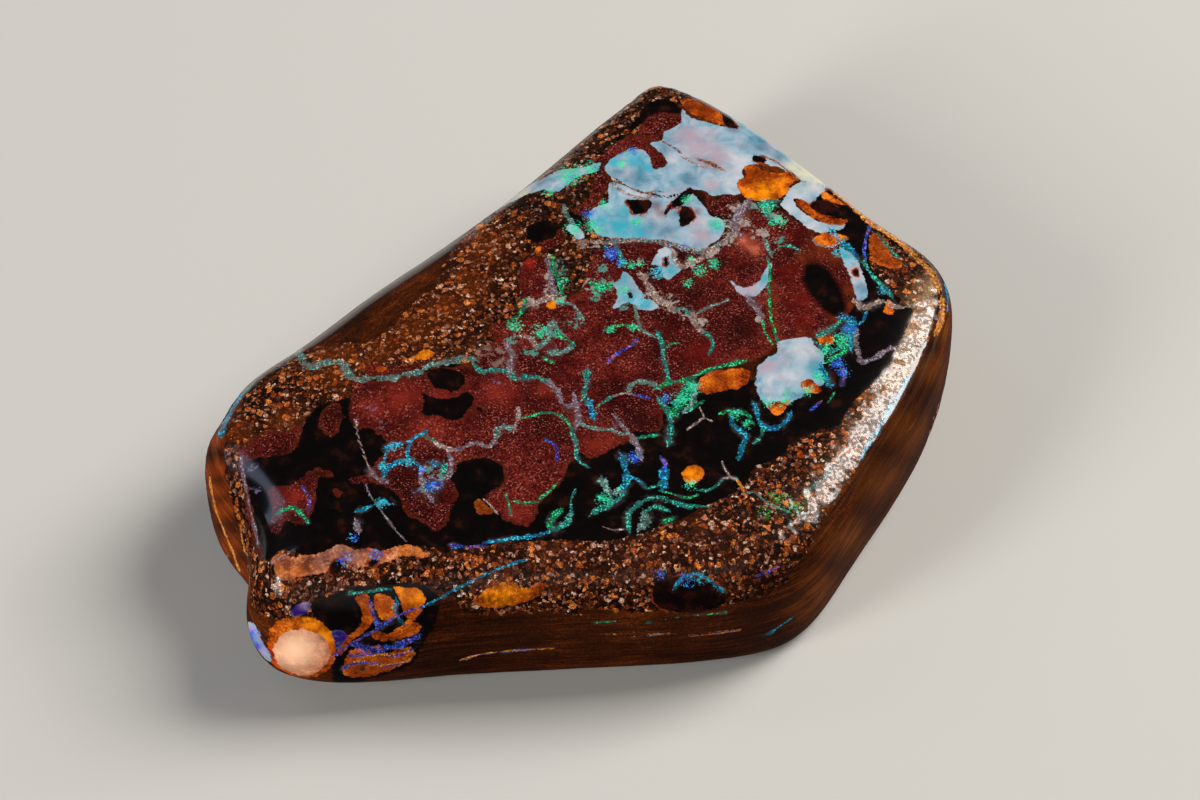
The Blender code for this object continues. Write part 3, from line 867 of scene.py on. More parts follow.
def thinning_faces(fine, coarse):
    """Five triangles from each four edges of a ring to one edge of a coarser ring."""
    f = [np.roll(fine, -k)[::4] for k in range(5)]
    c = [coarse, np.roll(coarse, -1)]
    corners = (
        (f[0], f[1], c[0]),
        (f[1], f[2], c[0]),
        (f[2], c[1], c[0]),
        (f[2], f[3], c[1]),
        (f[3], f[4], c[1]),
    )
    return np.concatenate([np.stack(corner, axis=1) for corner in corners])


def stone_surface():
    """The whole stone as points, faces, and the numbers of the points down its side, row by row."""
    rings = section_rings()
    face = flat_sheet(FACE_CELLS, rings, *FACE_SPAN)
    rows = np.concatenate([low + (high - low) * np.arange(1, n + 1) / n for low, high, n in SIDE_ROWS])
    columns = 4 * FACE_CELLS
    way_round = FIRST_CORNER + np.arange(columns) / columns * len(STATIONS)
    side = on_stone(*np.broadcast_arrays(way_round[None, :], rows[:, None]), rings)
    under = flat_sheet(UNDERSIDE_CELLS, rings, *UNDERSIDE_SPAN)
    points = np.concatenate([face, side.reshape(-1, 3), under])
    side_rows = len(face) + np.arange(side.shape[0] * columns).reshape(side.shape[:2])
    side_rows = np.concatenate([square_rim(FACE_CELLS)[None], side_rows])
    first_under = len(face) + side.shape[0] * columns
    quads = [grid_faces(FACE_CELLS, 0, False), grid_faces(UNDERSIDE_CELLS, first_under, True)]
    quads += [strip_faces(upper, lower) for upper, lower in zip(side_rows, side_rows[1:])]
    triangles = thinning_faces(side_rows[-1], first_under + square_rim(UNDERSIDE_CELLS))
    return points, np.concatenate(quads), triangles, side_rows


def fitted(points, node):
    """The points moved and scaled to the box of the solid that they replace."""
    low, high = (np.array(corner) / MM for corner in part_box(node))
    size = points.max(axis=0) - points.min(axis=0)
    return low + (points - points.min(axis=0)) * (high - low) / size


def closed_mesh(name, points, quads, triangles):
    """A mesh from arrays of quads and triangles, shaded smooth, in metres."""
    mesh = bpy.data.meshes.new(name)
    corners = np.concatenate([quads.ravel(), triangles.ravel()])
    starts = np.concatenate([4 * np.arange(len(quads)), 4 * len(quads) + 3 * np.arange(len(triangles))])
    mesh.vertices.add(len(points))
    mesh.vertices.foreach_set("co", (points * MM).astype(np.float32).ravel())
    mesh.loops.add(len(corners))
    mesh.loops.foreach_set("vertex_index", corners.astype(np.int32))
    mesh.polygons.add(len(starts))
    mesh.polygons.foreach_set("loop_start", starts.astype(np.int32))
    mesh.update(calc_edges=True)
    mesh.validate()
    mesh.shade_smooth()
    return mesh


def mesh_normals(mesh):
    normals = np.empty(3 * len(mesh.vertices), np.float32)
    mesh.vertex_normals.foreach_get("vector", normals)
    return normals.reshape(-1, 3).astype(float)


def noise(points, size, seed):
    """Smooth noise from 0 to 1: random values at the corners of cubes of this size, blended along each
    axis by 3 t^2 - 2 t^3."""
    cell = points / size
    corner = np.floor(cell).astype(np.int64)
    share = cell - corner
    share = share * share * (3 - 2 * share)
    total = 0
    for offset in itertools.product((0, 1), repeat=3):
        weight = np.prod(np.where(np.array(offset) == 1, share, 1 - share), axis=-1)
        mixed = (corner + offset) @ np.array(SCATTER_AXES) + seed * SCATTER_SEED
        mixed = (mixed ^ (mixed >> 13)) & SCATTER_MASK
        mixed = (mixed * SCATTER_GAIN + SCATTER_SHIFT) & SCATTER_MASK
        mixed = ((mixed ^ (mixed >> 15)) * SCATTER_LAST) & SCATTER_MASK
        total = total + weight * mixed / SCATTER_MASK
    return total


def layered_noise(points, layers):
    """The sum of layers of noise, each times its strength."""
    return sum(strength * noise(points, size, seed) for strength, size, seed in layers)


def seen_on_face(points):
    """Where the camera's line of sight through each point meets the level of the polished face."""
    sight = points - CAMERA_PLACE
    share = (FACE_HEIGHT - CAMERA_PLACE[2]) / sight[..., 2]
    return (CAMERA_PLACE + sight * share[..., None])[..., :2]


def from_picture(pixels):
    """Picture pixels as places on the level of the polished face."""
    pixels = np.asarray(pixels, float)
    right = (pixels[..., 0] - PICTURE[0] / 2)[..., None] * RIGHTWARD
    up = (PICTURE[1] / 2 - pixels[..., 1])[..., None] * UPWARD
    return seen_on_face(CAMERA_PLACE + FOCAL_PIXELS * FORWARD + right + up)


def pattern_places(points, normals, side_rows):
    """Each point's place in the pattern. The camera's lines of sight carry the pattern as far as the stone
    faces the camera. Beyond that, down a side that is turned away, it runs on straight out from the edge
    by the distance along the surface, and the underside lies far outside it. Also how far each point is out
    of the camera's sight, from 0 to 1."""
    places = seen_on_face(points)
    sight = CAMERA_PLACE - points
    facing = (normals * sight).sum(axis=1) / np.linalg.norm(sight, axis=1)
    side = points[side_rows]
    steps = np.linalg.norm(np.diff(side, axis=0), axis=2)
    length = np.concatenate([np.zeros((1, side.shape[1])), np.cumsum(steps, axis=0)])
    hidden = np.maximum.accumulate(facing[side_rows] < LAST_FACING, axis=0)
    hidden[0] = False
    last = np.maximum(hidden.argmax(axis=0) - 1, 0)
    column = np.arange(side.shape[1])
    out = normals[side_rows[len(side_rows) // 2]][:, :2]
    out = out / np.linalg.norm(out, axis=1, keepdims=True)
    beyond = (length - length[last, column])[..., None] * out[None]
    carried = places[side_rows][last, column][None] + beyond
    places[side_rows] = np.where(hidden[..., None], carried, places[side_rows])
    under = np.arange(side_rows.max() + 1, len(points))
    places[under] = FAR_AWAY
    unseen = np.zeros(len(points))
    unseen[side_rows] = np.where(hidden, np.clip((length - length[last, column]) / UNSEEN_FADE, 0, 1), 0)
    unseen[under] = 1
    return places, unseen


def smooth_route(points, closed, steps=3):
    """A Catmull-Rom curve through the points: each stretch is the cubic whose slope at a point is half the
    step between its neighbours."""
    points = np.asarray(points, float)
    if closed:
        before, after, later = np.roll(points, 1, 0), np.roll(points, -1, 0), np.roll(points, -2, 0)
        here = points
    else:
        ends = np.concatenate([2 * points[:1] - points[1:2], points, 2 * points[-1:] - points[-2:-1]])
        before, here, after, later = ends[:-3], ends[1:-2], ends[2:-1], ends[3:]
    t = (np.arange(steps) / steps)[None, :, None]
    before, here, after, later = (part[:, None] for part in (before, here, after, later))
    curve = 0.5 * (
        2 * here
        + (after - before) * t
        + (2 * before - 5 * here + 4 * after - later) * t ** 2
        + (3 * here - before - 3 * after + later) * t ** 3
    )
    curve = curve.reshape(-1, 2)
    return curve if closed else np.concatenate([curve, points[-1:]])


def distances(places, starts, ends):
    """Each place's distance to the nearest of these straight stretches, and which side of it the place is
    on, 1 for the left and -1 for the right."""
    along = ends - starts
    offset = places[:, None] - starts[None]
    share = np.clip((offset * along).sum(-1) / np.maximum((along ** 2).sum(-1), LEAST_LENGTH), 0, 1)
    gap = np.linalg.norm(offset - share[..., None] * along, axis=-1)
    nearest = gap.argmin(axis=1)
    one = np.arange(len(places))
    cross = along[nearest, 0] * offset[one, nearest, 1] - along[nearest, 1] * offset[one, nearest, 0]
    return gap[one, nearest], np.where(cross >= 0, 1.0, -1.0)


def near(places, route, reach):
    low, high = route.min(axis=0) - reach, route.max(axis=0) + reach
    return np.flatnonzero(((places > low) & (places < high)).all(axis=1))


def zone_distance(places, outlines, holes=()):
    """Distance to the edge of a zone, positive inside it: the largest over its outlines, cut by its holes."""
    result = np.full(len(places), -ZONE_REACH)
    for outline in outlines:
        route = smooth_route(from_picture(outline), closed=True)
        chosen = near(places, route, ZONE_REACH)
        result[chosen] = np.maximum(result[chosen], edge_distance(places[chosen], route))
    for hole in holes:
        route = smooth_route(from_picture(hole), closed=True)
        chosen = near(places, route, ZONE_REACH)
        result[chosen] = np.minimum(result[chosen], -edge_distance(places[chosen], route))
    return result


def edge_distance(places, route):
    """Distance to a closed route, positive where a line to one side crosses it an odd number of times."""
    ends = np.roll(route, -1, axis=0)
    gap, _ = distances(places, route, ends)
    x, y = places[:, None, 0], places[:, None, 1]
    crosses = (route[None, :, 1] > y) != (ends[None, :, 1] > y)
    rise = ends[:, 1] - route[:, 1]
    rise = np.where(abs(rise) < LEAST_LENGTH, LEAST_LENGTH, rise)
    at = route[None, :, 0] + (y - route[None, :, 1]) * ((ends[:, 0] - route[:, 0]) / rise)[None]
    inside = ((x < at) & crosses).sum(axis=1) % 2 == 1
    return np.clip(np.where(inside, gap, -gap), -ZONE_REACH, ZONE_REACH)


def vein_layers(routes, widths):
    """Which layer each vein goes in, so that no two in a layer come close to each other where they can."""
    layers = []
    for k, route in enumerate(routes):
        crowding = np.zeros(VEIN_LAYERS)
        for other in range(k):
            gap = np.linalg.norm(route[:, None] - routes[other][None], axis=-1).min()
            needed = (widths[k] + widths[other]) * VEIN_REACH
            crowding[layers[other]] = max(crowding[layers[other]], needed - gap)
        layers.append(int(crowding.argmin()))
    return layers


def vein_distances(places):
    """For each layer of veins, the distance across the nearest vein, with its sign, and to it, without, both
    in half widths, and the tone of the nearest vein of all."""
    routes = [smooth_route(from_picture(route), closed=False) for _, _, route in VEINS]
    widths = [width / PIXELS_PER_MM for width, _, _ in VEINS]
    layers = vein_layers(routes, widths)
    across = np.full((VEIN_LAYERS, len(places)), VEIN_REACH)
    away = np.full((VEIN_LAYERS, len(places)), VEIN_REACH)
    tone = np.zeros(len(places))
    nearest = np.full(len(places), VEIN_REACH)
    for route, width, layer, vein in zip(routes, widths, layers, VEINS):
        chosen = near(places, route, VEIN_REACH * width)
        gap, side = distances(places[chosen], route[:-1], route[1:])
        gap = gap / width
        closer = gap < away[layer, chosen]
        away[layer, chosen[closer]] = gap[closer]
        across[layer, chosen[closer]] = (gap * side)[closer]
        closest = gap < nearest[chosen]
        nearest[chosen[closest]] = gap[closest]
        tone[chosen[closest]] = vein[1]
    return across, away, tone


def linear(colour):
    """An sRGB colour from 0 to 255 as the linear light values that shaders take."""
    share = np.array(colour) / 255
    return np.where(share <= 0.04045, share / 12.92, ((share + 0.055) / 1.055) ** 2.4)


def tint_colours(places, patches):
    """The soft patches of a layer as one colour at each place, with their strength as its fourth value: each
    patch fades as exp(-(distance / radius)^2), and where they meet, they mix by strength."""
    total = np.zeros((len(places), 3))
    weights = np.zeros(len(places))
    strength = np.zeros(len(places))
    for strongest, colour, spots in patches:
        for x, y, radius in spots:
            away = np.linalg.norm(places - from_picture((x, y)), axis=1) * PIXELS_PER_MM / radius
            share = strongest * np.exp(-away ** 2)
            total += share[:, None] * linear(colour)
            weights += share
            strength = np.maximum(strength, share)
    return np.column_stack([total / np.maximum(weights, LEAST_STRENGTH)[:, None], strength])


def worn(points, normals, sand):
    """The surface worn in by tumbling: low waves all over, and pits between the grains of the sand."""
    level = np.clip(normals[:, 2], 0, 1) ** 4
    waves = layered_noise(points, WAVES) * (1 - LOST_ON_TOP * level)
    grains = np.clip(layered_noise(points, PIT_NOISE) * PIT_GAIN - PIT_START, 0, 1)
    pits = PIT_DEPTH * grains * np.clip(sand / PIT_MARGIN + 0.5, 0, 1)
    above_foot = np.clip((points[:, 2] - points[:, 2].min()) / FOOT_FADE, 0, 1)
    return points - normals * ((waves + pits) * above_foot)[:, None]


def pattern_zones(points, places, unseen):
    """Distance to the edge of each zone, with more sand in patches where the picture shows nothing."""
    zones = {
        "sand": zone_distance(places, SAND),
        "black": zone_distance(places, BLACK),
        "red": zone_distance(places, RED, RED_HOLES),
        "opal": zone_distance(places, OPAL),
        "amber": zone_distance(places, AMBER),
        "peach": zone_distance(places, PEACH),
        "shade": zone_distance(places, SHADE),
        "inclusion": zone_distance(places, INCLUSIONS),
    }
    patches = (layered_noise(points, HIDDEN_SAND) - HIDDEN_SAND_LEVEL) * HIDDEN_SAND_SLOPE
    patches = np.where(unseen > 0, patches, -ZONE_REACH) - (1 - unseen)
    zones["sand"] = np.maximum(zones["sand"], patches)
    return zones


def keep(mesh, name, kind, key, values):
    """Stores one value or colour for each point of the mesh as an attribute."""
    store = mesh.attributes.new(name, kind, "POINT")
    store.data.foreach_set(key, values.astype(np.float32).ravel())


def boulder_opal():
    """The stone, with the distances and soft colours of its pattern as attributes of its points."""
    points, quads, triangles, side_rows = stone_surface()
    points = fitted(points, "boulder_opal")
    plain = closed_mesh("plain", points, quads, triangles)
    normals = mesh_normals(plain)
    bpy.data.meshes.remove(plain)
    places, unseen = pattern_places(points, normals, side_rows)
    zones = pattern_zones(points, places, unseen)
    polished = np.max([zones[name] for name in ("black", "red", "opal", "amber", "peach")], axis=0)
    open_sand = np.minimum(zones["sand"], -polished - SAND_CLEARANCE)
    mesh = closed_mesh("boulder_opal_skin", worn(points, normals, open_sand), quads, triangles)
    across, away, tone = vein_distances(places)
    values = dict(zones, vein_tone=tone, upturned=normals[:, 2])
    for layer in range(VEIN_LAYERS):
        values[f"vein_{layer}_across"] = across[layer]
        values[f"vein_{layer}_away"] = away[layer]
    for name, value in values.items():
        keep(mesh, name, "FLOAT", "value", value)
    for layer, patches in TINTS.items():
        keep(mesh, f"tint_{layer}", "FLOAT_COLOR", "color", tint_colours(places, patches))
    stone = bpy.data.objects.new("boulder_opal_skin", mesh)
    bpy.context.scene.collection.objects.link(stone)
    mesh.materials.append(opal_in_ironstone())
    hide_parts("boulder_opal")
    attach(stone, "root")


class Value:
    """A number in a material's node tree, which ordinary arithmetic turns into Math nodes."""

    def __init__(self, graph, socket):
        self.graph = graph
        self.socket = socket

    def __add__(self, other):
        return self.graph.maths("ADD", self, other)

    def __radd__(self, other):
        return self.graph.maths("ADD", other, self)

    def __sub__(self, other):
        return self.graph.maths("SUBTRACT", self, other)

    def __rsub__(self, other):
        return self.graph.maths("SUBTRACT", other, self)

    def __mul__(self, other):
        return self.graph.maths("MULTIPLY", self, other)

    def __rmul__(self, other):
        return self.graph.maths("MULTIPLY", other, self)

    def __abs__(self):
        return self.graph.maths("ABSOLUTE", self)


class Graph:
    """A material's node tree, with one method that adds any node and short ones for those used often."""

    def __init__(self, name):
        self.material = bpy.data.materials.new(name)
        self.material.use_nodes = True
        self.tree = self.material.node_tree
        self.shader = self.tree.nodes["Principled BSDF"]
        self.known = {}

    def node(self, kind, settings, sockets):
        made = self.tree.nodes.new(kind)
        for name, value in settings.items():
            setattr(made, name, value)
        for key, value in sockets.items():
            self.put(made.inputs[key], value)
        return made

    def put(self, socket, value):
        if isinstance(value, Value):
            self.tree.links.new(value.socket, socket)
        else:
            socket.default_value = value

    def maths(self, operation, *values):
        made = self.node("ShaderNodeMath", {"operation": operation}, dict(enumerate(values)))
        return Value(self, made.outputs[0])

    def vectors(self, operation, first, second):
        made = self.node("ShaderNodeVectorMath", {"operation": operation}, {0: first, 1: second})
        return Value(self, made.outputs[0])

    def attribute(self, name, output="Fac"):
        if name not in self.known:
            self.known[name] = self.node("ShaderNodeAttribute", {"attribute_name": name}, {})
        return Value(self, self.known[name].outputs[output])

    def step(self, value, low, high):
        """0 below low, 1 above high, and a smooth rise between."""
        made = self.node(
            "ShaderNodeMapRange",
            {"interpolation_type": "SMOOTHSTEP"},
            {"Value": value, "From Min": low, "From Max": high},
        )
        return Value(self, made.outputs["Result"])

    def mix(self, share, first, second):
        made = self.node(
            "ShaderNodeMix",
            {"data_type": "RGBA"},
            {"Factor": share, 6: first, 7: second},
        )
        return Value(self, made.outputs[2])

    def ramp(self, value, stops):
        """A colour ramp from (place, sRGB colour) stops."""
        stops = list(stops)
        made = self.node("ShaderNodeValToRGB", {}, {"Fac": value})
        elements = made.color_ramp.elements
        while len(elements) < len(stops):
            elements.new(1.0)
        for element, (place, colour) in zip(elements, stops):
            element.position = place
            element.color = paint(colour)
        return Value(self, made.outputs["Color"])

    def objects(self, scale=(1, 1, 1)):
        """Object coordinates, stretched along each axis."""
        if "objects" not in self.known:
            self.known["objects"] = self.node("ShaderNodeTexCoord", {}, {})
        plain = Value(self, self.known["objects"].outputs["Object"])
        if scale == (1, 1, 1):
            return plain
        return self.vectors("MULTIPLY", plain, scale)

    def moved(self, size, reach):
        """Object coordinates that wander by up to this reach in millimetres, which bends what reads them."""
        made = self.node(
            "ShaderNodeTexNoise",
            {},
            {"Vector": self.objects(), "Scale": 1 / (size * MM), "Detail": 2.0},
        )
        centred = self.vectors("SUBTRACT", Value(self, made.outputs["Color"]), (0.5, 0.5, 0.5))
        scaled = self.vectors("MULTIPLY", centred, (reach * MM * 2,) * 3)
        return self.vectors("ADD", scaled, self.objects())

    def noise(self, size, detail=2.0, place=None, roughness=0.5):
        """Noise from 0 to 1 whose features are about this many millimetres across."""
        made = self.node(
            "ShaderNodeTexNoise",
            {},
            {
                "Vector": place or self.objects(),
                "Scale": 1 / (size * MM),
                "Detail": detail,
                "Roughness": roughness,
            },
        )
        return Value(self, made.outputs["Fac"])

    def grains(self, size, place=None):
        """Rounded grains of this size in millimetres: distance from each grain's middle, and two random
        numbers for each grain."""
        made = self.node(
            "ShaderNodeTexVoronoi",
            {"feature": "F1"},
            {"Vector": place or self.objects(), "Scale": 1 / (size * MM), "Randomness": 1.0},
        )
        parts = self.node("ShaderNodeSeparateColor", {}, {"Color": Value(self, made.outputs["Color"])})
        return [Value(self, made.outputs["Distance"]), *(Value(self, parts.outputs[k]) for k in (0, 1))]


def paint(colour):
    return (*linear(colour), 1.0)


def ironstone(m):
    """Brown ironstone in thin layers that lie level, and where its streaks are."""
    place = m.objects((0.08, 0.08, 1.0))
    layers = m.noise(0.16, 4.0, place, 0.7)
    wide = m.noise(0.9, 2.0, place)
    tone = layers * 0.38 + wide * 0.24 + m.noise(5.0, 3.0) * 0.20 + m.noise(0.11, 3.0) * 0.26
    streak = m.step(layers * 0.6 + wide * 0.4, 0.47, 0.58)
    return m.ramp(tone, (
        (0.40, (10, 3, 1)),
        (0.50, (34, 12, 3)),
        (0.58, (62, 24, 5)),
        (0.65, (104, 46, 9)),
        (0.76, (176, 92, 22)),
    )), streak


GRAIN_STEPS = (0.08, 0.32, 0.58, 0.80, 0.97)
WARM_GRAIN = ((14, 5, 2), (50, 20, 6), (110, 46, 14), (170, 80, 28), (238, 150, 70))
PALE_GRAIN = ((20, 8, 5), (62, 30, 20), (118, 66, 46), (168, 116, 90), (240, 212, 190))


def sandstone(m):
    """Sand in a dark cement: angular grains of two sizes, some amber and some pale, each a little paler
    towards its edge, partly a painted highlight on the grain rims, and where the large grains are."""
    place = m.moved(0.34, 0.20)
    rough = m.noise(0.09, 3.0) - 0.5
    ground = m.ramp(m.noise(1.5, 3.0) * 0.7 + m.noise(0.25, 2.0) * 0.3, (
        (0.42, (7, 3, 1)),
        (0.52, (20, 8, 2)),
        (0.60, (52, 21, 4)),
        (0.70, (104, 46, 10)),
    ))

    def coloured(far, pick, hue):
        # The step in far makes each grain a little paler towards its edge: partly grain colour, partly a
        # painted highlight on the grain rims.
        value = pick * 0.94 + m.step(far, 0.14, 0.40) * 0.06 + rough * 1.2 - 0.06
        warm = m.ramp(value, zip(GRAIN_STEPS, WARM_GRAIN))
        pale = m.ramp(value, zip(GRAIN_STEPS, PALE_GRAIN))
        return m.mix(m.step(hue, 0.42, 0.66), warm, pale)

    far, pick, hue = m.grains(0.38, place)
    far_small, pick_small, hue_small = m.grains(0.20, place)
    small_grains = coloured(far_small, pick_small, hue_small)
    small = m.mix(m.step(far_small + rough * 0.6, 0.60, 0.40), ground, small_grains)
    present = m.step(far + hue * 0.26 + rough * 0.5, 0.66, 0.52)
    return m.mix(present, small, coloured(far, pick, hue)), present


def jasper(m):
    """Deep red jasper, grainy like fine brick, with paler specks."""
    tone = m.noise(2.8, 3.0) * 0.66 + m.noise(0.5, 2.0) * 0.34
    hollows = m.ramp(tone, ((0.38, (18, 2, 2)), (0.50, (34, 5, 4)), (0.62, (52, 9, 7))))
    grain = m.ramp(tone, ((0.38, (54, 8, 7)), (0.50, (78, 16, 13)), (0.62, (108, 32, 24))))
    base = m.mix(m.step(m.noise(0.12, 2.0), 0.38, 0.62), hollows, grain)
    specks = m.step(m.noise(0.11, 1.0), 0.58, 0.70) * m.step(m.noise(0.9, 2.0), 0.34, 0.56)
    return m.mix(specks * 0.66, base, paint((172, 100, 86)))


def dark_stone(m):
    return m.ramp(m.noise(0.9, 4.0), (
        (0.40, (4, 2, 2)),
        (0.58, (10, 4, 3)),
        (0.70, (34, 13, 6)),
    ))


def pale_opal(m):
    """Milky opal in drawn-out clouds: blue, grey blue, white and rose."""
    place = m.moved(2.2, 1.1)
    tone = m.noise(1.8, 4.0, place) * 0.62 + m.noise(0.5, 3.0, place) * 0.38
    milk = m.ramp(tone, (
        (0.36, (80, 128, 150)),
        (0.46, (118, 152, 170)),
        (0.54, (142, 164, 180)),
        (0.62, (164, 174, 184)),
        (0.72, (190, 184, 190)),
    ))
    rose = m.step(m.noise(1.5, 3.0, m.moved(1.2, 0.6)), 0.50, 0.66)
    return m.mix(rose * 0.4, milk, paint((160, 140, 150)))


def amber(m):
    return m.ramp(m.noise(0.8, 4.0) * 0.62 + m.noise(0.12) * 0.38, (
        (0.38, (84, 26, 3)),
        (0.47, (134, 52, 6)),
        (0.55, (178, 80, 14)),
        (0.64, (216, 118, 30)),
    ))


def peach(m):
    return m.ramp(m.noise(0.7, 4.0) * 0.7 + m.noise(0.14) * 0.3, (
        (0.36, (96, 44, 28)),
        (0.48, (156, 84, 56)),
        (0.58, (202, 122, 82)),
        (0.68, (226, 160, 126)),
    ))


DULL_VEIN = (
    (118, 98, 90),
    (92, 74, 84),
    (76, 98, 92),
    (22, 84, 84),
    (16, 84, 50),
    (16, 88, 116),
    (16, 22, 104),
    (188, 112, 20),
    (70, 34, 20),
)
BRIGHT_VEIN = (
    (200, 180, 168),
    (152, 138, 170),
    (124, 178, 164),
    (60, 196, 180),
    (52, 224, 96),
    (60, 190, 232),
    (52, 64, 240),
    (252, 192, 64),
    (150, 92, 64),
)


def along_tones(m, tone, colours):
    return m.ramp(tone, zip((k / (len(colours) - 1) for k in range(len(colours))), colours))


def veins(m, colour):
    """Veins laid over a colour: a milky haze beside them here and there, a mottled body with frayed edges
    and gaps, and uneven glints in it."""
    nearness = None
    for layer in range(VEIN_LAYERS):
        across = abs(m.attribute(f"vein_{layer}_across"))
        line = m.maths("MAXIMUM", across, m.attribute(f"vein_{layer}_away") - 0.9)
        nearness = line if nearness is None else m.maths("MINIMUM", nearness, line)
    tone = m.attribute("vein_tone")
    thick = nearness + (m.noise(0.17, 3.0) - 0.5) * 2.2 + (m.noise(0.60, 2.0) - 0.5) * 2.6
    haze = m.step(thick, 2.7, 1.0) * m.step(m.noise(1.3, 2.0), 0.50, 0.64) * m.step(tone, 0.86, 0.74)
    colour = m.mix(haze * 0.22, colour, paint((96, 84, 86)))
    patchy = m.step(m.noise(0.28, 3.0), 0.36, 0.54) * 0.62 + 0.38
    dull = along_tones(m, tone + (m.noise(0.34) - 0.5) * 0.34, DULL_VEIN)
    colour = m.mix(m.step(thick, 1.20, 0.72) * patchy, colour, dull)
    spots = m.step(m.noise(0.12, 2.0), 0.52, 0.60) * m.step(m.noise(0.45), 0.36, 0.56)
    bright = along_tones(m, tone + (m.noise(0.22) - 0.5) * 0.36, BRIGHT_VEIN)
    return m.mix(m.step(thick, 1.05, 0.75) * spots, colour, bright)


def glitter(m, colour):
    """Points of fire scattered where the glitter patches are, each with a hue near its patch's."""
    share = m.attribute("tint_glitter", "Alpha")
    spot = m.step(m.noise(0.11, 3.0) + share * 0.14, 0.62, 0.68) * m.step(share, 0.08, 0.30)
    body = m.step(m.noise(0.40, 4.0, roughness=0.65) + share * 0.16, 0.58, 0.66) * m.step(share, 0.10, 0.40)
    dim = m.mix(0.5, m.attribute("tint_glitter", "Color"), paint((14, 50, 56)))
    colour = m.mix(body * 0.55, colour, dim)
    own = m.attribute("tint_glitter", "Color")
    fire = m.mix(m.step(m.noise(0.26), 0.42, 0.60) * 0.8, own, paint((60, 188, 196)))
    return m.mix(spot * (m.noise(0.20) * 1.4 + 0.1), colour, fire)


def zone(m, name, edge, soft=0.03):
    """1 inside a zone and 0 outside it, with its edge moved by this many millimetres."""
    return m.step(m.attribute(name) + edge, -soft, soft)


def tinted(m, layer, colour, share=1.0):
    """A colour with the soft patches of its layer over it."""
    tint = f"tint_{layer}"
    return m.mix(m.attribute(tint, "Alpha") * share, colour, m.attribute(tint, "Color"))


def matrix(m, sand_mask, black_mask):
    """Layered ironstone with the sand and the dark stone in it, and where the sand's large grains are."""
    sand, grain = sandstone(m)
    plain, streak = ironstone(m)
    plain = tinted(m, "wall", plain, streak * 0.6 + 0.4)
    sand = tinted(m, "ground", sand, m.noise(0.16, 3.0) * (grain * 0.6 + 1.3))
    colour = m.mix(sand_mask, plain, sand)
    return m.mix(black_mask, colour, dark_stone(m)), grain


def with_jasper(m, colour, red_mask, wander, mottle):
    """Jasper with a brown fringe here and there, and the soft dark oval in it."""
    fringe = m.step(m.attribute("red") + wander, 0.34, 0.02) * m.step(m.noise(1.2), 0.40, 0.56)
    red = m.mix(fringe * 0.75, tinted(m, "red", jasper(m), mottle), paint((74, 24, 8)))
    colour = m.mix(red_mask, colour, red)
    oval = m.step(m.attribute("shade") + wander * 0.5, -0.22, 0.20)
    return m.mix(oval, colour, dark_stone(m))


def with_wisps(m, colour):
    """Milky wisps where the milk patches are."""
    milk = m.attribute("tint_milk", "Alpha")
    wisps = m.step(m.noise(0.34, 4.0, m.moved(0.8, 0.5), 0.65) + milk * 0.22, 0.62, 0.70)
    wisps = wisps * m.step(milk, 0.10, 0.40)
    return m.mix(wisps * (m.noise(0.14, 2.0) * 1.2 + 0.2), colour, m.attribute("tint_milk", "Color"))


def with_inclusions(m, colour, wander):
    """Small dark inclusions, some with a brown rim."""
    rimmed = m.mix(zone(m, "inclusion", wander * 0.7 + 0.10), colour, paint((126, 48, 14)))
    rim = m.mix(m.step(m.noise(0.7), 0.46, 0.56), colour, rimmed)
    inside = m.mix(m.step(m.noise(0.8, 3.0), 0.46, 0.62) * 0.6, dark_stone(m), paint((48, 15, 9)))
    return m.mix(zone(m, "inclusion", wander * 0.7), rim, inside)


# The finish: roughness on the walls, what the polish takes off it and what sand and unevenness add to it,
# then the clear coat, its roughness, the stone's own gloss, and the depth of the sand's bump in millimetres.
WALL_ROUGHNESS = 0.55
POLISH = 0.35
SANDY_ROUGHNESS = 0.20
UNEVEN_ROUGHNESS = 0.10
COAT = 0.9
COAT_ROUGHNESS = 0.12
OWN_GLOSS = 0.02
BUMP_DEPTH = 0.05
BUMP_STRENGTH = 0.8
# The colour that the pits between the grains are darkened towards: painted shade in the recesses.
PIT_SHADE_COLOUR = (20, 8, 4)


def finish(m, colour, open_sand, grain):
    """A clear coat on what faces up, satin walls, and dull pits between the grains of open sand, darkened by
    painted shade.
    """
    raised = m.step(m.noise(0.20, 2.0) + (m.noise(2.5) - 0.5) * 0.4, 0.46, 0.54)
    pitted = open_sand * (1 - raised)
    upturned = m.step(m.attribute("upturned"), 0.50, 0.78)
    roughness = WALL_ROUGHNESS - upturned * POLISH + open_sand * SANDY_ROUGHNESS
    relief = open_sand * (grain * 0.6 + m.noise(0.3, 3.0) * 0.8 + raised * 0.6)
    bump = m.node(
        "ShaderNodeBump",
        {},
        {"Height": relief, "Distance": BUMP_DEPTH * MM, "Strength": BUMP_STRENGTH},
    )
    sockets = m.shader.inputs
    # Base colour, with the pits of open sand darkened by a third towards the pit colour: painted shade in the
    # recesses.
    m.put(sockets["Base Color"], m.mix(pitted * 0.35, colour, paint(PIT_SHADE_COLOUR)))
    m.put(sockets["Roughness"], roughness + m.noise(1.5, 3.0) * UNEVEN_ROUGHNESS)
    m.put(sockets["Coat Weight"], upturned * (1 - pitted * 0.7) * COAT)
    m.put(sockets["Normal"], Value(m, bump.outputs["Normal"]))
    sockets["Specular IOR Level"].default_value = OWN_GLOSS
    sockets["Coat Roughness"].default_value = COAT_ROUGHNESS


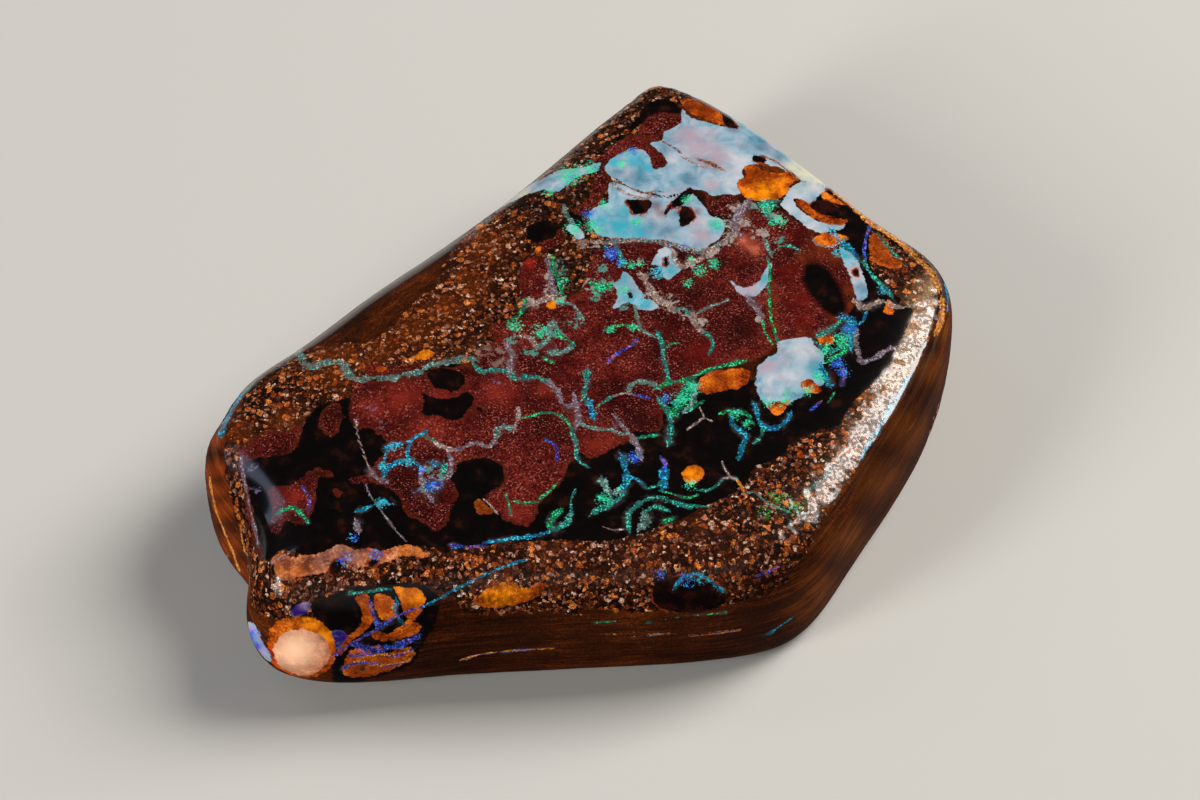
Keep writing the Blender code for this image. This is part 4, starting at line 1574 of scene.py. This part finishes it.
def opal_in_ironstone():
    """The whole stone: its layers one over the other, each inside its own zone, with soft tints."""
    m = Graph("opal_in_ironstone")
    wander = (m.noise(0.40, 4.0, roughness=0.65) - 0.5) * 0.62
    sandy = (m.noise(0.5, 3.0) - 0.5) * 1.1
    mottle = m.step(m.noise(0.40, 3.0), 0.34, 0.58) * 0.55 + 0.45
    sand_mask = zone(m, "sand", sandy, 0.08)
    black_mask = zone(m, "black", wander)
    red_mask = zone(m, "red", wander)
    opal_mask = zone(m, "opal", wander * 0.7)
    colour, grain = matrix(m, sand_mask, black_mask)
    colour = with_jasper(m, colour, red_mask, wander, mottle)
    colour = with_wisps(m, colour)
    colour = m.mix(opal_mask, colour, tinted(m, "opal", pale_opal(m), mottle * 0.5 + 0.6))
    colour = m.mix(zone(m, "amber", wander * 0.8), colour, tinted(m, "amber", amber(m), mottle))
    colour = m.mix(zone(m, "peach", wander * 0.7), colour, tinted(m, "peach", peach(m)))
    colour = with_inclusions(m, colour, wander)
    colour = glitter(m, veins(m, colour))
    polished = m.maths("MAXIMUM", m.maths("MAXIMUM", red_mask, opal_mask), black_mask)
    finish(m, colour, sand_mask * (1 - polished), grain)
    return m.material


def floor():
    mesh = bpy.data.meshes.new("floor")
    low, high = -FLOOR_REACH, FLOOR_REACH
    mesh.from_pydata([(low, low, 0), (high, low, 0), (high, high, 0), (low, high, 0)], [], [(0, 1, 2, 3)])
    surface = bpy.data.objects.new("floor", mesh)
    bpy.context.scene.collection.objects.link(surface)
    m = Graph("pale_floor")
    m.shader.inputs["Base Color"].default_value = paint(FLOOR_COLOUR)
    m.shader.inputs["Roughness"].default_value = FLOOR_ROUGHNESS
    mesh.materials.append(m.material)


def towards(turn, rise):
    """The direction that is this many degrees round from +X and this many degrees up."""
    turn, rise = math.radians(turn), math.radians(rise)
    return Vector((math.cos(rise) * math.cos(turn), math.cos(rise) * math.sin(turn), math.sin(rise)))


def softbox(name, first, last, width, radiance):
    """A rectangular area light that faces the stone, as long as the way from the first direction to the last
    and this wide. Its power is pi times its area times its radiance."""
    first, last = towards(*first), towards(*last)
    middle = (first + last).normalized()
    light = bpy.data.lights.new(name, "AREA")
    light.shape = "RECTANGLE"
    light.size = width
    light.size_y = 2 * LIGHT_DISTANCE * math.tan(first.angle(last) / 2)
    brightest = max(radiance)
    light.color = [part / brightest for part in radiance]
    light.energy = math.pi * light.size * light.size_y * brightest
    lamp = bpy.data.objects.new(name, light)
    long_way = (first - last).normalized()
    long_way = (long_way - middle * long_way.dot(middle)).normalized()
    turned = Matrix((long_way.cross(middle), long_way, middle)).transposed()
    lamp.matrix_world = Matrix.LocRotScale(middle * LIGHT_DISTANCE, turned, None)
    bpy.context.scene.collection.objects.link(lamp)


def camera():
    data = bpy.data.cameras.new("camera")
    data.sensor_width = SENSOR
    data.lens = FOCAL_PIXELS / PICTURE[0] * SENSOR
    data.clip_start = CLIP_START
    viewer = bpy.data.objects.new("camera", data)
    viewer.location = CAMERA_PLACE * MM
    viewer.rotation_euler = (math.pi / 2 - CAMERA_RISE, 0, 0)
    bpy.context.scene.collection.objects.link(viewer)
    bpy.context.scene.camera = viewer


def studio():
    scene = bpy.context.scene
    scene.view_settings.view_transform = "Standard"
    world = bpy.data.worlds.new("studio")
    scene.world = world
    world.use_nodes = True
    back = world.node_tree.nodes["Background"]
    back.inputs["Color"].default_value = (1, 1, 1, 1)
    back.inputs["Strength"].default_value = AMBIENT
    for light in LIGHTS:
        softbox(*light)


camera()
floor()
studio()
boulder_opal()
